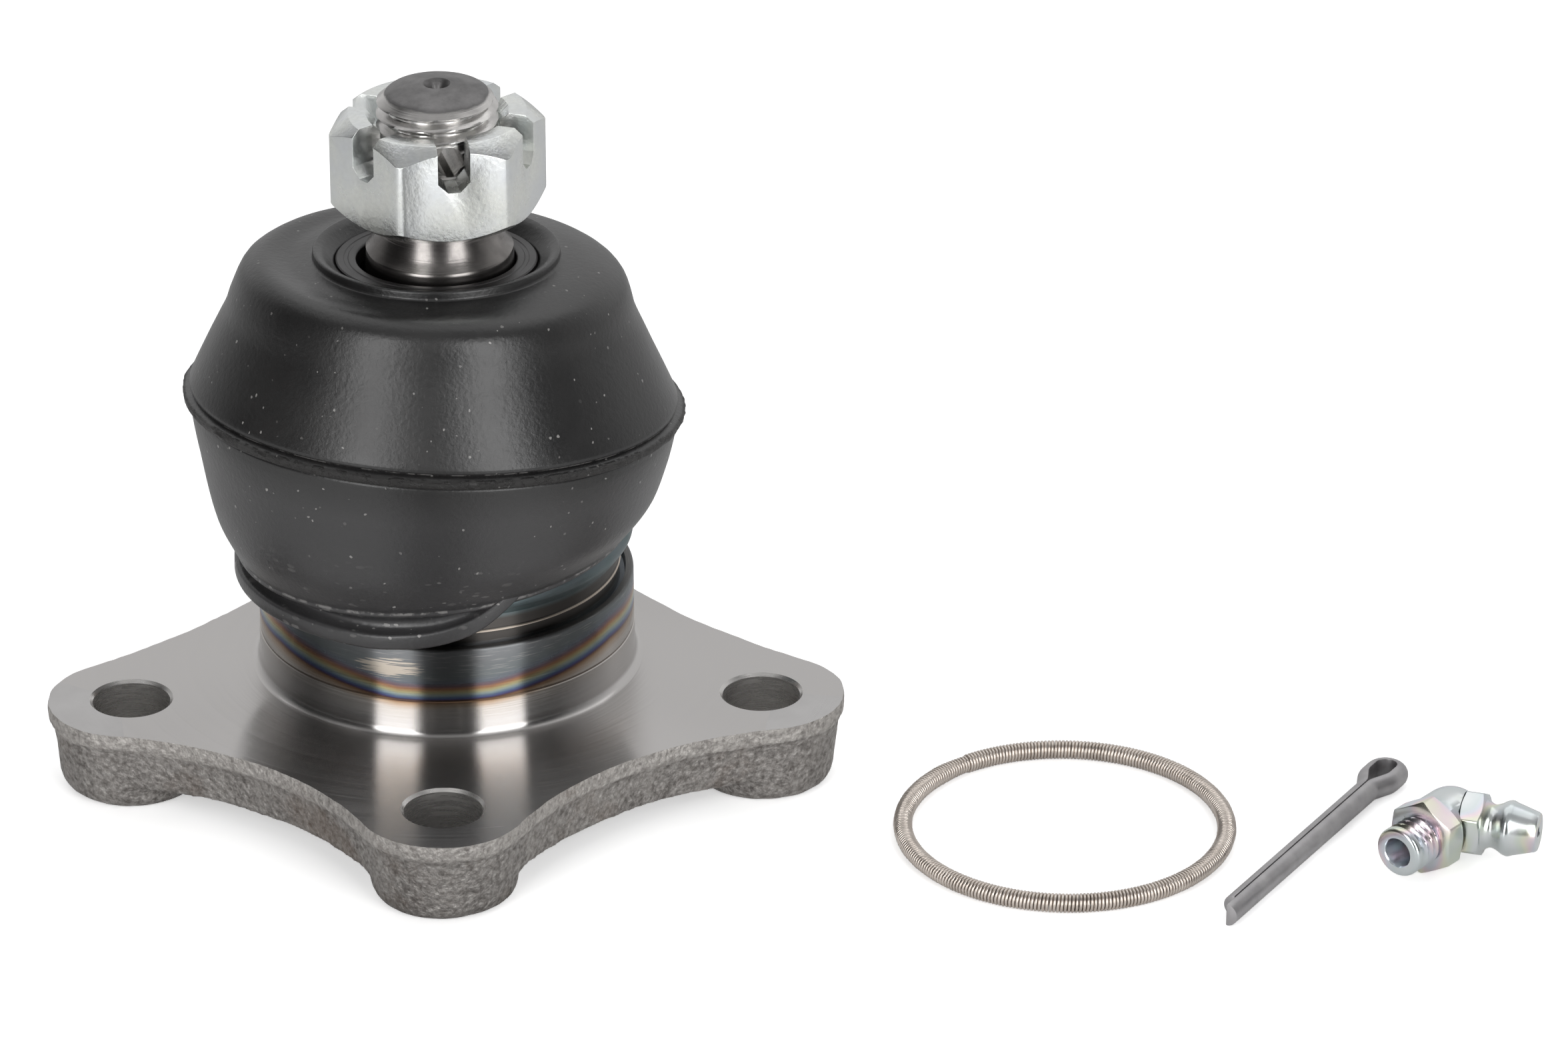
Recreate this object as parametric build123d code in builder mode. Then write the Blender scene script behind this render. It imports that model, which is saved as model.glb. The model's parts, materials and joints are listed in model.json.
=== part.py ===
from build123d import *
import os
from collections import namedtuple
from math import cos, pi, radians, sin, sqrt, tan

os.makedirs("parts", exist_ok=True)

# Suspension ball joint with a four-bolt flange, and the loose parts supplied with it.
# Millimetres. Origin on the joint's axis at the machined top face of the flange, +Z up the
# stud, -Y towards the front bolt hole. The bosses under the flange stand on the ground.

# Flange and its bolt holes
hole_r = 4.5
hole_chamfer = 0.35
side_hole_x = 36.6
side_hole_y = -11.4
end_hole_y = 39.2
lobe_r = 9.6
front_hollow_r = 41.0
back_hollow_r = 80.0
flange_thick = 7.2
flash_depth = 2.0
flash_proud = 0.5
forging_draft = 5.5
boss_drop = 3.1
boss_edge_r = 1.4

# Collar, groove and land that carry the dust boot
collar_r = 22.0
collar_top = 11.2
collar_foot_r = 1.0
collar_step_height = 4.6
collar_step = 0.1
collar_edge = 0.35
undercut_width = 0.7
undercut_depth = 1.0
groove_r = 20.2
land_lower_edge_r = 20.9
land_bottom = 14.7
land_r = 21.9
land_mid = 16.9
land_top_r = 20.6
land_top = 18.8

# Ball, socket and cover
ball_centre = 7.0
ball_r = 12.5
ball_flat = 9.6
ball_clearance = 0.05
socket_r = 15.6
bearing_rise = 5.3
mouth_r = 12.0
mouth_top_r = 16.0
seat_clearance = 0.02
seat_split = 0.3
seat_depth = 12.2
seat_hole_r = 5.8
spring_thick = 0.9
spring_outer_r = 15.2
spring_inner_r = 7.5
spring_height = 1.7
cover_thick = 2.5
cover_r = 17.2
cover_boss_r = 5.0
cover_boss_rise = 1.6
crimp_thick = 0.6
crimp_reach = 1.4
hub_r = 20.0
hub_draft = 0.5
nipple_thread_r = 2.5

# Stud, its lengths counted down from its top
stud_top = 72.5
stud_dome = 1.0
stud_chamfer = 1.2
stud_edge_r = 5.75
thread_length = 15.5
thread_r = 7.0
relief_length = 4.8
relief_r = 6.7
taper_length = 17.0
taper_end_r = 8.45
shank_length = 5.2
shank_r = 9.3
neck_flare = 10.0
neck_r = 7.0
centre_drill_r = 1.43
centre_drill_depth = 3.0
pin_hole_r = 1.7
pin_hole_depth = 7.2
pin_hole_heading = -77.0

# Castle nut
nut_across_flats = 22.0
nut_height = 11.9
nut_below_top = 3.5
nut_bore_clearance = 0.05
nut_turn = 10.7
nut_chamfer_angle = 30.0
nut_face_r = 10.5
slot_width = 3.7
slot_depth = 5.5
slot_corner = 0.9

# Dust boot, its crown set against the stud's taper and its ridge above the collar
boot_wall = 1.7
boot_shift = -1.0
top_shift = -0.4
bottom_shift = -0.3
crown_below_taper = 2.4
crown_r = 14.0
crown_edge_r = 17.8
crown_edge_drop = 0.5
shoulder_r = 21.2
shoulder_drop = 2.2
brow_r = 23.4
brow_drop = 5.1
cone_r = 25.7
cone_drop = 9.9
ridge_r = 28.6
ridge_above_collar = 21.8
bulge_r = 27.3
bulge_drop = 6.0
waist_r = 25.9
waist_drop = 11.6
skirt_r = 24.2
skirt_drop = 15.7
ridge_flash = 0.6
ridge_flash_root = 0.9
ridge_flash_edge = 0.22
rim_r = 14.2
rim_rise = 1.1
rim_wall = 0.9
rim_drop = 1.7
rim_root = 1.0
ring_outer_r = 11.6
ring_inner_r = 9.2
ring_thick = 2.2
ring_depth = 1.2
ring_clearance = 0.2
ring_ledge = 1.4
ledge_thick = 1.0
lip_r = 24.7
lip_above_collar = 3.7
lip_wall = 2.0
lip_edge = 0.5
lip_bead = 1.9
lip_groove = 1.0
lip_height = 4.4

# Loose garter spring
garter_ring_r = 18.65
garter_tube_r = 1.12
garter_gap = 5.23
garter_y = -27.85

# Loose split pin
pin_wire_r = 1.35
pin_leg_gap = 0.06
pin_leg = 35.2
pin_leg_step = 2.2
pin_eye_half = 1.25
pin_eye_flare = 2.2
pin_eye_length = 5.5
pin_bend_r = 1.2
pin_from_garter_x = 17.0
pin_from_garter_y = -22.15
pin_heading = 57.8

# Loose grease nipple, bent, lying on a corner of its hexagon
elbow_from_garter_x = 43.8
elbow_from_garter_y = -6.25
stub_heading = 229.0
head_heading = -18.5
nipple_hex = 8.0
hex_near = 3.2
hex_far = 6.0
stub_end = 10.4
stub_r = 2.95
stub_chamfer = 0.5
stub_bore_r = 1.65
elbow_r = 3.9
elbow_face = 1.5
spot_face_r = 4.25
grease_way_r = 0.8
collar_hex = 7.0
collar_end = 4.1
collar_waist_r = 3.1
head_waist_r = 2.5
head_waist = 5.0
head_r = 3.25
head_full = 6.9
head_tip_r = 2.25
head_end = 10.3
head_bore_r = 1.15
head_mouth_r = 0.65
head_mouth_depth = 1.0
check_ball_r = 1.0
check_ball_clearance = 0.03
check_spring_wire = 0.3
check_spring_gap = 0.05

# Worked out from the above
ground = -(flange_thick + boss_drop)
shoulder = ball_centre + bearing_rise
seat_bottom = ball_centre - seat_depth
cover_top = seat_bottom - spring_height
cover_bottom = cover_top - cover_thick
hub_bottom = cover_bottom - crimp_thick
stud_edge = stud_top - stud_dome
thread_end = stud_edge - stud_chamfer
relief_top = stud_top - thread_length
taper_end = relief_top - relief_length
taper_start = taper_end - taper_length
shank_start = taper_start - shank_length
pin_hole_height = stud_top - pin_hole_depth
crown_height = taper_end - crown_below_taper
ridge_height = collar_top + ridge_above_collar
nut_top = stud_top - nut_below_top
nut_bottom = nut_top - nut_height
hex_sides = 6
hex_corner = 1 / cos(pi / hex_sides)
garter_x = side_hole_x + lobe_r + garter_gap + garter_tube_r + garter_ring_r
pin_tip = Vector(garter_x + pin_from_garter_x, garter_y + pin_from_garter_y)
elbow_ground = Vector(garter_x + elbow_from_garter_x, garter_y + elbow_from_garter_y)

# Round sections of the boot as it sits askew: outer radius, height, shift to the right,
# degrees that the right side is down and degrees that the front is up
Section = namedtuple("Section", "radius height shift right_down front_up")
ridge = Section(ridge_r, ridge_height, boot_shift, 3.4, 5.4)
shoulders = [
    Section(cone_r, crown_height - cone_drop, boot_shift, 3.2, 5.0),
    Section(brow_r, crown_height - brow_drop, boot_shift, 2.6, 4.6),
    Section(shoulder_r, crown_height - shoulder_drop, top_shift, 1.8, 4.0),
    Section(crown_edge_r, crown_height - crown_edge_drop, top_shift, 1.0, 3.4),
]
crown = Section(crown_r, crown_height, top_shift, 0.6, 3.0)
rim = Section(rim_r, crown_height + rim_rise, top_shift, 0.6, 3.0)
skirt = [
    Section(bulge_r, ridge_height - bulge_drop, boot_shift, 1.6, 3.0),
    Section(waist_r, ridge_height - waist_drop, boot_shift, -1.8, 0.8),
    Section(skirt_r, ridge_height - skirt_drop, bottom_shift, -4.3, -1.1),
]
lip = Section(lip_r, collar_top + lip_above_collar, bottom_shift, -6.6, -4.0)

# Flange holes right, back, left and front, and the hollow side that follows each
lobes = [
    Vector(side_hole_x, side_hole_y),
    Vector(0, end_hole_y),
    Vector(-side_hole_x, side_hole_y),
    Vector(0, -end_hole_y),
]
hollows = [back_hollow_r, back_hollow_r, front_hollow_r, front_hollow_r]


def toward(heading, length=1.0):
    """Vector on the ground that points along a heading, in degrees from +X"""
    return Vector(cos(radians(heading)), sin(radians(heading)), 0) * length


def hollow_arc(first, second, hollow_r):
    """Ends and middle of the arc that hollows the flange between two lobes"""
    gap = second - first
    along = gap.length / 2
    away = sqrt((hollow_r + lobe_r) ** 2 - along ** 2)
    step = gap.normalized()
    outward = Vector(step.Y, -step.X)
    centre = first + step * along + outward * away
    start = centre + (first - centre).normalized() * hollow_r
    end = centre + (second - centre).normalized() * hollow_r
    return start, centre - outward * hollow_r, end


def section_plane(section):
    """Plane of one slanted round section of the boot"""
    normal = Vector(sin(radians(section.right_down)), sin(radians(section.front_up)), 1)
    return Plane(origin=(section.shift, 0, section.height), x_dir=(1, 0, 0), z_dir=normal)


def profile_plane(section):
    """Plane through a section's axis, radius along X and height above the section along Y"""
    flat = section_plane(section)
    return Plane(origin=flat.origin, x_dir=flat.x_dir, z_dir=-flat.y_dir)


def section_axis(section):
    """Axis of a slanted round section"""
    flat = section_plane(section)
    return Axis(flat.origin, flat.z_dir)


def flange_outline(margin):
    """Kite-shaped outline with a round lobe at each hole, moved inwards by a margin"""
    with BuildSketch(Plane.XY) as outline:
        with BuildLine():
            for index, hollow_r in enumerate(hollows):
                here, after, last = (lobes[(index + step) % len(lobes)] for step in range(3))
                start, middle, end = hollow_arc(here, after, hollow_r)
                leave = hollow_arc(after, last, hollows[(index + 1) % len(hollows)])[0]
                tip = after + (after - (here + last) / 2).normalized() * lobe_r
                ThreePointArc(start, middle, end)
                ThreePointArc(end, tip, leave)
        make_face()
        if margin:
            offset(amount=-margin)
    return outline.sketch


side_narrowing = (flange_thick - flash_depth) * tan(radians(forging_draft))
boss_r = lobe_r - flash_proud - side_narrowing
boss_foot_r = boss_r - boss_drop * tan(radians(forging_draft))

# Forged and turned housing
with BuildPart() as housing:
    with BuildSketch(Plane.XY.offset(-flash_depth)):
        add(flange_outline(0))
    extrude(amount=flash_depth)
    with BuildSketch(Plane.XY.offset(-flash_depth)):
        add(flange_outline(flash_proud))
    extrude(amount=-(flange_thick - flash_depth), taper=forging_draft)
    for lobe in lobes:
        with BuildSketch(Plane(origin=lobe, x_dir=(1, 0, 0), z_dir=(0, -1, 0))):
            with BuildLine():
                Polyline(
                    (boss_foot_r, ground + boss_edge_r),
                    (boss_r, -flange_thick),
                    (0, -flange_thick),
                    (0, ground),
                    (boss_foot_r - boss_edge_r, ground),
                )
                RadiusArc(
                    (boss_foot_r - boss_edge_r, ground),
                    (boss_foot_r, ground + boss_edge_r),
                    -boss_edge_r,
                )
            make_face()
        revolve(axis=Axis(lobe, (0, 0, 1)))
    with BuildSketch(Plane.XZ):
        with BuildLine():
            Polyline(
                (cover_r - crimp_reach, hub_bottom),
                (hub_r, hub_bottom),
                (hub_r + hub_draft, -flange_thick),
                (collar_r + collar_foot_r, -flash_depth),
                (collar_r + collar_foot_r, 0),
            )
            RadiusArc((collar_r + collar_foot_r, 0), (collar_r, collar_foot_r), collar_foot_r)
            Polyline(
                (collar_r, collar_foot_r),
                (collar_r, collar_step_height),
                (collar_r - collar_step, collar_step_height),
                (collar_r - collar_step, collar_top - collar_edge),
                (collar_r - collar_step - collar_edge, collar_top),
                (groove_r + undercut_width, collar_top),
                (groove_r + undercut_width, collar_top - undercut_depth),
                (groove_r, collar_top - undercut_depth),
                (groove_r, land_bottom),
                (land_lower_edge_r, land_bottom),
            )
            ThreePointArc(
                (land_lower_edge_r, land_bottom), (land_r, land_mid), (land_top_r, land_top)
            )
            Polyline(
                (land_top_r, land_top),
                (mouth_top_r, land_top),
                (mouth_r, shoulder),
                (socket_r, shoulder),
                (socket_r, cover_top),
                (cover_r, cover_top),
                (cover_r, cover_bottom),
                (cover_r - crimp_reach, cover_bottom),
                (cover_r - crimp_reach, hub_bottom),
            )
        make_face()
    revolve(axis=Axis.Z)
    with BuildSketch(Plane.XY.offset(shoulder)):
        Circle(socket_r)
    extrude(amount=cover_top - shoulder, mode=Mode.SUBTRACT)
    with BuildSketch(Plane.XY.offset(cover_top)):
        Circle(cover_r)
    extrude(amount=cover_bottom - cover_top, mode=Mode.SUBTRACT)
    with Locations(*lobes):
        CounterSinkHole(
            radius=hole_r, counter_sink_radius=hole_r + hole_chamfer, counter_sink_angle=90
        )

# Bearing ring above the ball's middle
with BuildPart() as upper_bearing_seat:
    with BuildSketch(Plane.XY.offset(ball_centre + seat_split)):
        Circle(socket_r - seat_clearance)
    extrude(amount=bearing_rise - seat_split)
    with Locations((0, 0, ball_centre)):
        Sphere(ball_r + ball_clearance, mode=Mode.SUBTRACT)

# Cup that the spring presses up against the ball
with BuildPart() as lower_bearing_seat:
    with BuildSketch(Plane.XY.offset(seat_bottom)):
        Circle(socket_r - seat_clearance)
    extrude(amount=ball_centre - seat_split - seat_bottom)
    with Locations((0, 0, ball_centre)):
        Sphere(ball_r + ball_clearance, mode=Mode.SUBTRACT)
    with BuildSketch(Plane.XY.offset(seat_bottom)):
        Circle(seat_hole_r)
    extrude(amount=ball_r, mode=Mode.SUBTRACT)

# Conical disc spring between the cover and the cup
with BuildPart() as preload_spring:
    with BuildSketch(Plane.XZ):
        with BuildLine():
            Polyline(
                (spring_outer_r, cover_top),
                (spring_outer_r, cover_top + spring_thick),
                (spring_inner_r, seat_bottom),
                (spring_inner_r, seat_bottom - spring_thick),
                close=True,
            )
        make_face()
    revolve(axis=Axis.Z)

# Cover crimped into the hub, with the threaded hole for the nipple
with BuildPart() as end_cover:
    with BuildSketch(Plane.XY.offset(cover_bottom)):
        Circle(cover_r - seat_clearance)
    extrude(amount=cover_thick)
    with BuildSketch(Plane.XY.offset(cover_top)):
        Circle(cover_boss_r)
    extrude(amount=cover_boss_rise)
    with BuildSketch(Plane.XY.offset(cover_bottom)):
        Circle(nipple_thread_r)
    extrude(amount=cover_thick + cover_boss_rise, mode=Mode.SUBTRACT)

# Ball stud
neck_start = ball_centre + sqrt(ball_r**2 - neck_r**2)
flat_r = sqrt(ball_r**2 - ball_flat**2)
stud_dome_r = (stud_edge_r**2 + stud_dome**2) / (2 * stud_dome)
with BuildPart() as ball_stud:
    with BuildSketch(Plane.XZ):
        with BuildLine():
            Line((0, ball_centre - ball_flat), (flat_r, ball_centre - ball_flat))
            ThreePointArc(
                (flat_r, ball_centre - ball_flat), (ball_r, ball_centre), (neck_r, neck_start)
            )
            Line((neck_r, neck_start), (neck_r, shank_start - neck_flare))
            Spline(
                (neck_r, shank_start - neck_flare),
                (shank_r, shank_start),
                tangents=((0, 1), (0, 1)),
            )
            Polyline(
                (shank_r, shank_start),
                (shank_r, taper_start),
                (taper_end_r, taper_end),
            )
            RadiusArc((taper_end_r, taper_end), (relief_r, relief_top), relief_top - taper_end)
            Polyline(
                (relief_r, relief_top),
                (thread_r, relief_top + thread_r - relief_r),
                (thread_r, thread_end),
                (stud_edge_r, stud_edge),
            )
            RadiusArc((stud_edge_r, stud_edge), (0, stud_top), -stud_dome_r)
            Line((0, stud_top), (0, ball_centre - ball_flat))
        make_face()
    revolve(axis=Axis.Z)
    with Locations((0, 0, stud_top)):
        Cone(
            bottom_radius=0,
            top_radius=centre_drill_r,
            height=centre_drill_depth,
            align=(Align.CENTER, Align.CENTER, Align.MAX),
            mode=Mode.SUBTRACT,
        )
    with BuildSketch(Plane(origin=(0, 0, pin_hole_height), z_dir=toward(pin_hole_heading))):
        Circle(pin_hole_r)
    extrude(amount=thread_r, both=True, mode=Mode.SUBTRACT)

# Castle nut
nut_corner_r = nut_across_flats / 2 * hex_corner
nut_chamfer = (nut_corner_r - nut_face_r) * tan(radians(nut_chamfer_angle))
with BuildPart() as castle_nut:
    with BuildSketch(Plane.XY.offset(nut_bottom)):
        RegularPolygon(nut_across_flats / 2, hex_sides, major_radius=False, rotation=nut_turn)
    extrude(amount=nut_height)
    with BuildSketch(Plane.XZ):
        with BuildLine():
            Polyline(
                (0, nut_bottom),
                (nut_face_r, nut_bottom),
                (nut_corner_r, nut_bottom + nut_chamfer),
                (nut_corner_r, nut_top - nut_chamfer),
                (nut_face_r, nut_top),
                (0, nut_top),
                close=True,
            )
        make_face()
    revolve(axis=Axis.Z, mode=Mode.INTERSECT)
    with BuildSketch(Plane.XY.offset(nut_bottom)):
        Circle(thread_r + nut_bore_clearance)
    extrude(amount=nut_height, mode=Mode.SUBTRACT)
    for slot in range(hex_sides // 2):
        along = toward(nut_turn + (slot + 1 / 2) * 360 / hex_sides)
        slot_plane = Plane(
            origin=(0, 0, nut_top), x_dir=along.cross(Vector(0, 0, 1)), z_dir=along
        )
        with BuildSketch(slot_plane):
            with BuildLine():
                side = slot_width / 2
                Polyline(
                    (-side, slot_depth),
                    (-side, slot_corner - slot_depth),
                    (slot_corner - side, -slot_depth),
                    (side - slot_corner, -slot_depth),
                    (side, slot_corner - slot_depth),
                    (side, slot_depth),
                    close=True,
                )
            make_face()
        extrude(amount=nut_corner_r, both=True, mode=Mode.SUBTRACT)

# Rubber dust boot, pushed up askew on the stud with its lip out of the groove
ring_seat = ring_depth + ring_thick + ring_clearance
ring_bore_r = ring_outer_r + ring_clearance
with BuildPart() as dust_boot:
    for sections in ([ridge, *shoulders, crown], [ridge, *skirt]):
        for section in sections:
            with BuildSketch(section_plane(section)):
                Circle(section.radius)
        loft()
    for drop, sections in ((boot_wall, shoulders), (0, skirt)):
        with BuildSketch(section_plane(ridge)):
            Circle(ridge.radius - boot_wall)
        for section in sections:
            with BuildSketch(section_plane(section).offset(-drop)):
                Circle(section.radius - boot_wall)
        loft(mode=Mode.SUBTRACT)
    with BuildSketch(section_plane(rim)):
        Circle(ring_bore_r)
    extrude(amount=ring_seat + ledge_thick, both=True, mode=Mode.SUBTRACT)
    with BuildSketch(profile_plane(rim)):
        Polygon(
            (rim.radius, 0),
            (rim.radius - rim_wall, 0),
            (ring_bore_r, -rim_drop),
            (ring_bore_r, -ring_seat),
            (ring_outer_r - ring_ledge, -ring_seat),
            (ring_outer_r - ring_ledge, -ring_seat - ledge_thick),
            (rim.radius + rim_root, -ring_seat - ledge_thick),
            (rim.radius + rim_root, -rim_drop),
            (rim.radius, -rim_drop),
            align=None,
        )
    revolve(axis=section_axis(rim))
    with BuildSketch(profile_plane(ridge)):
        Polygon(
            (ridge.radius - boot_wall / 2, -ridge_flash_root),
            (ridge.radius + ridge_flash, -ridge_flash_edge),
            (ridge.radius + ridge_flash, ridge_flash_edge),
            (ridge.radius - boot_wall / 2, ridge_flash_root),
            align=None,
        )
    revolve(axis=section_axis(ridge))
    with BuildSketch(profile_plane(lip)):
        Polygon(
            (lip.radius - lip_wall, lip_edge),
            (lip.radius - lip_wall + lip_edge, 0),
            (lip.radius - lip_edge, 0),
            (lip.radius, lip_edge),
            (lip.radius, lip_bead),
            (lip.radius - lip_groove, lip_bead + lip_edge),
            (lip.radius - lip_groove, lip_height - lip_edge),
            (lip.radius - lip_edge, lip_height),
            (lip.radius - lip_wall, lip_height),
            align=None,
        )
    revolve(axis=section_axis(lip))

# Ring that stiffens the boot's top opening
with BuildPart() as boot_top_ring:
    with BuildSketch(section_plane(rim).offset(-ring_depth - ring_thick)):
        Circle(ring_outer_r)
        Circle(ring_inner_r, mode=Mode.SUBTRACT)
    extrude(amount=ring_thick)

# Garter spring that holds the boot's lip in the groove, lying loose
with BuildPart() as garter_spring:
    with Locations((garter_x, garter_y, ground + garter_tube_r)):
        Torus(garter_ring_r, garter_tube_r)

# Split pin of half-round wire folded back on itself round an open eye, lying loose
pin_plane = Plane(
    origin=pin_tip + Vector(0, 0, ground + pin_wire_r),
    x_dir=toward(pin_heading),
    z_dir=(0, 0, 1),
)
pin_far = pin_leg + pin_eye_length
with BuildPart() as split_pin:
    with BuildLine(pin_plane):
        FilletPolyline(
            (0, -pin_leg_gap),
            (pin_leg, -pin_leg_gap),
            (pin_leg + pin_eye_flare, -pin_eye_half),
            (pin_far, -pin_eye_half),
            (pin_far, pin_eye_half),
            (pin_leg + pin_eye_flare, pin_eye_half),
            (pin_leg, pin_leg_gap),
            (pin_leg_step, pin_leg_gap),
            radius=pin_bend_r,
        )
    with BuildSketch(
        Plane(
            origin=pin_plane.from_local_coords((0, -pin_leg_gap, 0)),
            x_dir=pin_plane.y_dir,
            z_dir=pin_plane.x_dir,
        )
    ):
        Circle(pin_wire_r)
        Rectangle(
            pin_wire_r,
            2 * pin_wire_r,
            align=(Align.MIN, Align.CENTER),
            mode=Mode.SUBTRACT,
        )
    sweep()

# Grease nipple, its two straight runs leave the elbow along these planes
elbow = elbow_ground + Vector(0, 0, ground + nipple_hex / 2 * hex_corner)
stub_plane = Plane(origin=elbow, x_dir=(0, 0, -1), z_dir=toward(stub_heading))
head_plane = Plane(origin=elbow, x_dir=(0, 0, -1), z_dir=toward(head_heading))
head_profile = Plane(
    origin=elbow, x_dir=head_plane.z_dir, z_dir=head_plane.z_dir.cross(Vector(0, 0, 1))
)
head_axis = Axis(elbow, head_plane.z_dir)

# Threaded stub, hexagon and elbow of the nipple
with BuildPart() as nipple_elbow:
    with Locations(stub_plane):
        Cylinder(elbow_r, hex_near, align=(Align.CENTER, Align.CENTER, Align.MIN))
        Sphere(elbow_r)
    with BuildSketch(stub_plane.offset(hex_near)):
        RegularPolygon(nipple_hex / 2, hex_sides, major_radius=False)
    extrude(amount=hex_far - hex_near)
    with BuildSketch(stub_plane.offset(hex_far)):
        Circle(stub_r)
    extrude(amount=stub_end - hex_far)
    chamfer(nipple_elbow.faces().sort_by(Axis(elbow, stub_plane.z_dir))[-1].edges(), stub_chamfer)
    with Locations(head_plane.offset(elbow_face)):
        Cylinder(
            spot_face_r,
            elbow_r,
            align=(Align.CENTER, Align.CENTER, Align.MIN),
            mode=Mode.SUBTRACT,
        )
    with BuildSketch(stub_plane):
        Circle(stub_bore_r)
    extrude(amount=stub_end, mode=Mode.SUBTRACT)
    with BuildSketch(head_plane):
        Circle(grease_way_r)
    extrude(amount=elbow_face, mode=Mode.SUBTRACT)

# Coupling head of the nipple with its hexagonal collar
with BuildPart() as nipple_head:
    with BuildSketch(head_plane.offset(elbow_face)):
        RegularPolygon(collar_hex / 2, hex_sides, major_radius=False)
    extrude(amount=collar_end - elbow_face)
    with BuildSketch(head_profile):
        with BuildLine():
            Line((collar_end, 0), (collar_end, collar_waist_r))
            Spline(
                (collar_end, collar_waist_r),
                (head_waist, head_waist_r),
                (head_full, head_r),
                (head_end, head_tip_r),
                tangents=((1, -1), (head_end - head_full, head_tip_r - head_r)),
            )
            Polyline((head_end, head_tip_r), (head_end, 0), (collar_end, 0))
        make_face()
    revolve(axis=head_axis)
    with BuildSketch(head_plane.offset(elbow_face)):
        Circle(head_bore_r)
    extrude(amount=head_end - head_mouth_depth - elbow_face, mode=Mode.SUBTRACT)
    with BuildSketch(head_plane.offset(elbow_face)):
        Circle(head_mouth_r)
    extrude(amount=head_end - elbow_face, mode=Mode.SUBTRACT)

# Check ball that closes the nipple's mouth, and its spring
check_ball_seat = head_end - head_mouth_depth - sqrt(check_ball_r**2 - head_mouth_r**2)
check_ball_centre = check_ball_seat - check_ball_clearance
with BuildPart() as nipple_check_ball:
    with Locations(head_plane.offset(check_ball_centre)):
        Sphere(check_ball_r)

with BuildPart() as nipple_check_spring:
    with BuildSketch(head_plane.offset(elbow_face + check_spring_gap)):
        Circle(head_bore_r - 2 * check_spring_gap)
        Circle(head_bore_r - 2 * check_spring_gap - check_spring_wire, mode=Mode.SUBTRACT)
    extrude(amount=check_ball_centre - check_ball_r - elbow_face - 2 * check_spring_gap)

pieces = {
    "housing": housing,
    "upper_bearing_seat": upper_bearing_seat,
    "lower_bearing_seat": lower_bearing_seat,
    "preload_spring": preload_spring,
    "end_cover": end_cover,
    "ball_stud": ball_stud,
    "castle_nut": castle_nut,
    "dust_boot": dust_boot,
    "boot_top_ring": boot_top_ring,
    "garter_spring": garter_spring,
    "split_pin": split_pin,
    "nipple_elbow": nipple_elbow,
    "nipple_head": nipple_head,
    "nipple_check_ball": nipple_check_ball,
    "nipple_check_spring": nipple_check_spring,
}
for name, piece in pieces.items():
    piece.part.label = name
    export_step(piece.part, "parts/" + name + ".step")
    print(name, round(piece.part.volume, 1), piece.part.is_valid, len(piece.part.solids()))
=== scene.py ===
# %% [markdown]
# # A suspension ball joint and its loose fittings
# The measured model already says where each piece of the ball joint sits and how it moves. In
# this lesson we dress it: a forged and turned flange, a rubber boot that sits askew, a threaded
# stud with its castle nut, and the small parts that lie beside it. The first cell loads that
# model as a fixed frame, and everything we add is placed in the same metres.

# %% Load the measured frame
import json
import math
from collections import namedtuple

import bmesh
import bpy
from mathutils import Matrix, Vector, noise

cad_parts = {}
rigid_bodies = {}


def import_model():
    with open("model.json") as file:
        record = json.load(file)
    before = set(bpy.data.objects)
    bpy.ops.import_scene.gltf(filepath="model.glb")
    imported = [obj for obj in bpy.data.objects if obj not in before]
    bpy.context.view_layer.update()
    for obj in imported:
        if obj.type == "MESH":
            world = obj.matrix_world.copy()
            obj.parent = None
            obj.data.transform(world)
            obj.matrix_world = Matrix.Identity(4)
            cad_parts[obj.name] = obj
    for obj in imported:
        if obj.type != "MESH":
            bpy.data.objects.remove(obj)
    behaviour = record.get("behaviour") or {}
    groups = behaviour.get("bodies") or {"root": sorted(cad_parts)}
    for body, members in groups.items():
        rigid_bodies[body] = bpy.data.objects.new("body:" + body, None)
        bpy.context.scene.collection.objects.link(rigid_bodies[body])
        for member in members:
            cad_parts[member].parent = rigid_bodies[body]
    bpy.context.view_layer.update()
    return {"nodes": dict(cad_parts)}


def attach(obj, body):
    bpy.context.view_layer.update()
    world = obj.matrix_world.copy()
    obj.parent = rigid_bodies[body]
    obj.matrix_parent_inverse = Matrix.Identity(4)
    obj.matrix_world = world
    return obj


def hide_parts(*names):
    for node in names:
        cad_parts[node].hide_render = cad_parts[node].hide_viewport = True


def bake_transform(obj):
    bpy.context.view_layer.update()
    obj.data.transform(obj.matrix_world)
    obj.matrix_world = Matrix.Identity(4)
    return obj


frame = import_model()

mm = 0.001

# %% [markdown]
# ## Camera
# A product photo like this is taken with a long lens from about a metre away, looking down by a
# quarter of a right angle. A long lens keeps the flange's front and back nearly the same size,
# so we use one here too, placed where the ellipses of the real part say that it stood.

# %% Place the camera
lens, look_down, look_right = 189.8, 26.2, 1.3176
camera_spot = Vector((19.593, -865.727, 442.408))
camera = bpy.data.objects.new("camera", bpy.data.cameras.new("camera"))
camera.data.sensor_width = 36
camera.data.lens = lens
camera.location = camera_spot * mm
camera.rotation_euler = (math.radians(90 - look_down), 0, math.radians(-look_right))
bpy.context.scene.collection.objects.link(camera)
bpy.context.scene.camera = camera
print("The camera stands", round(camera.location.length, 3), "m from the flange")

# %% [markdown]
# ## Node helpers
# Materials are graphs of nodes. Writing each node out takes many lines, so one helper adds a
# node, sets its options, and fills or links its inputs. A second helper starts a node group
# with named sockets, which lets several materials share one effect.

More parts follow.
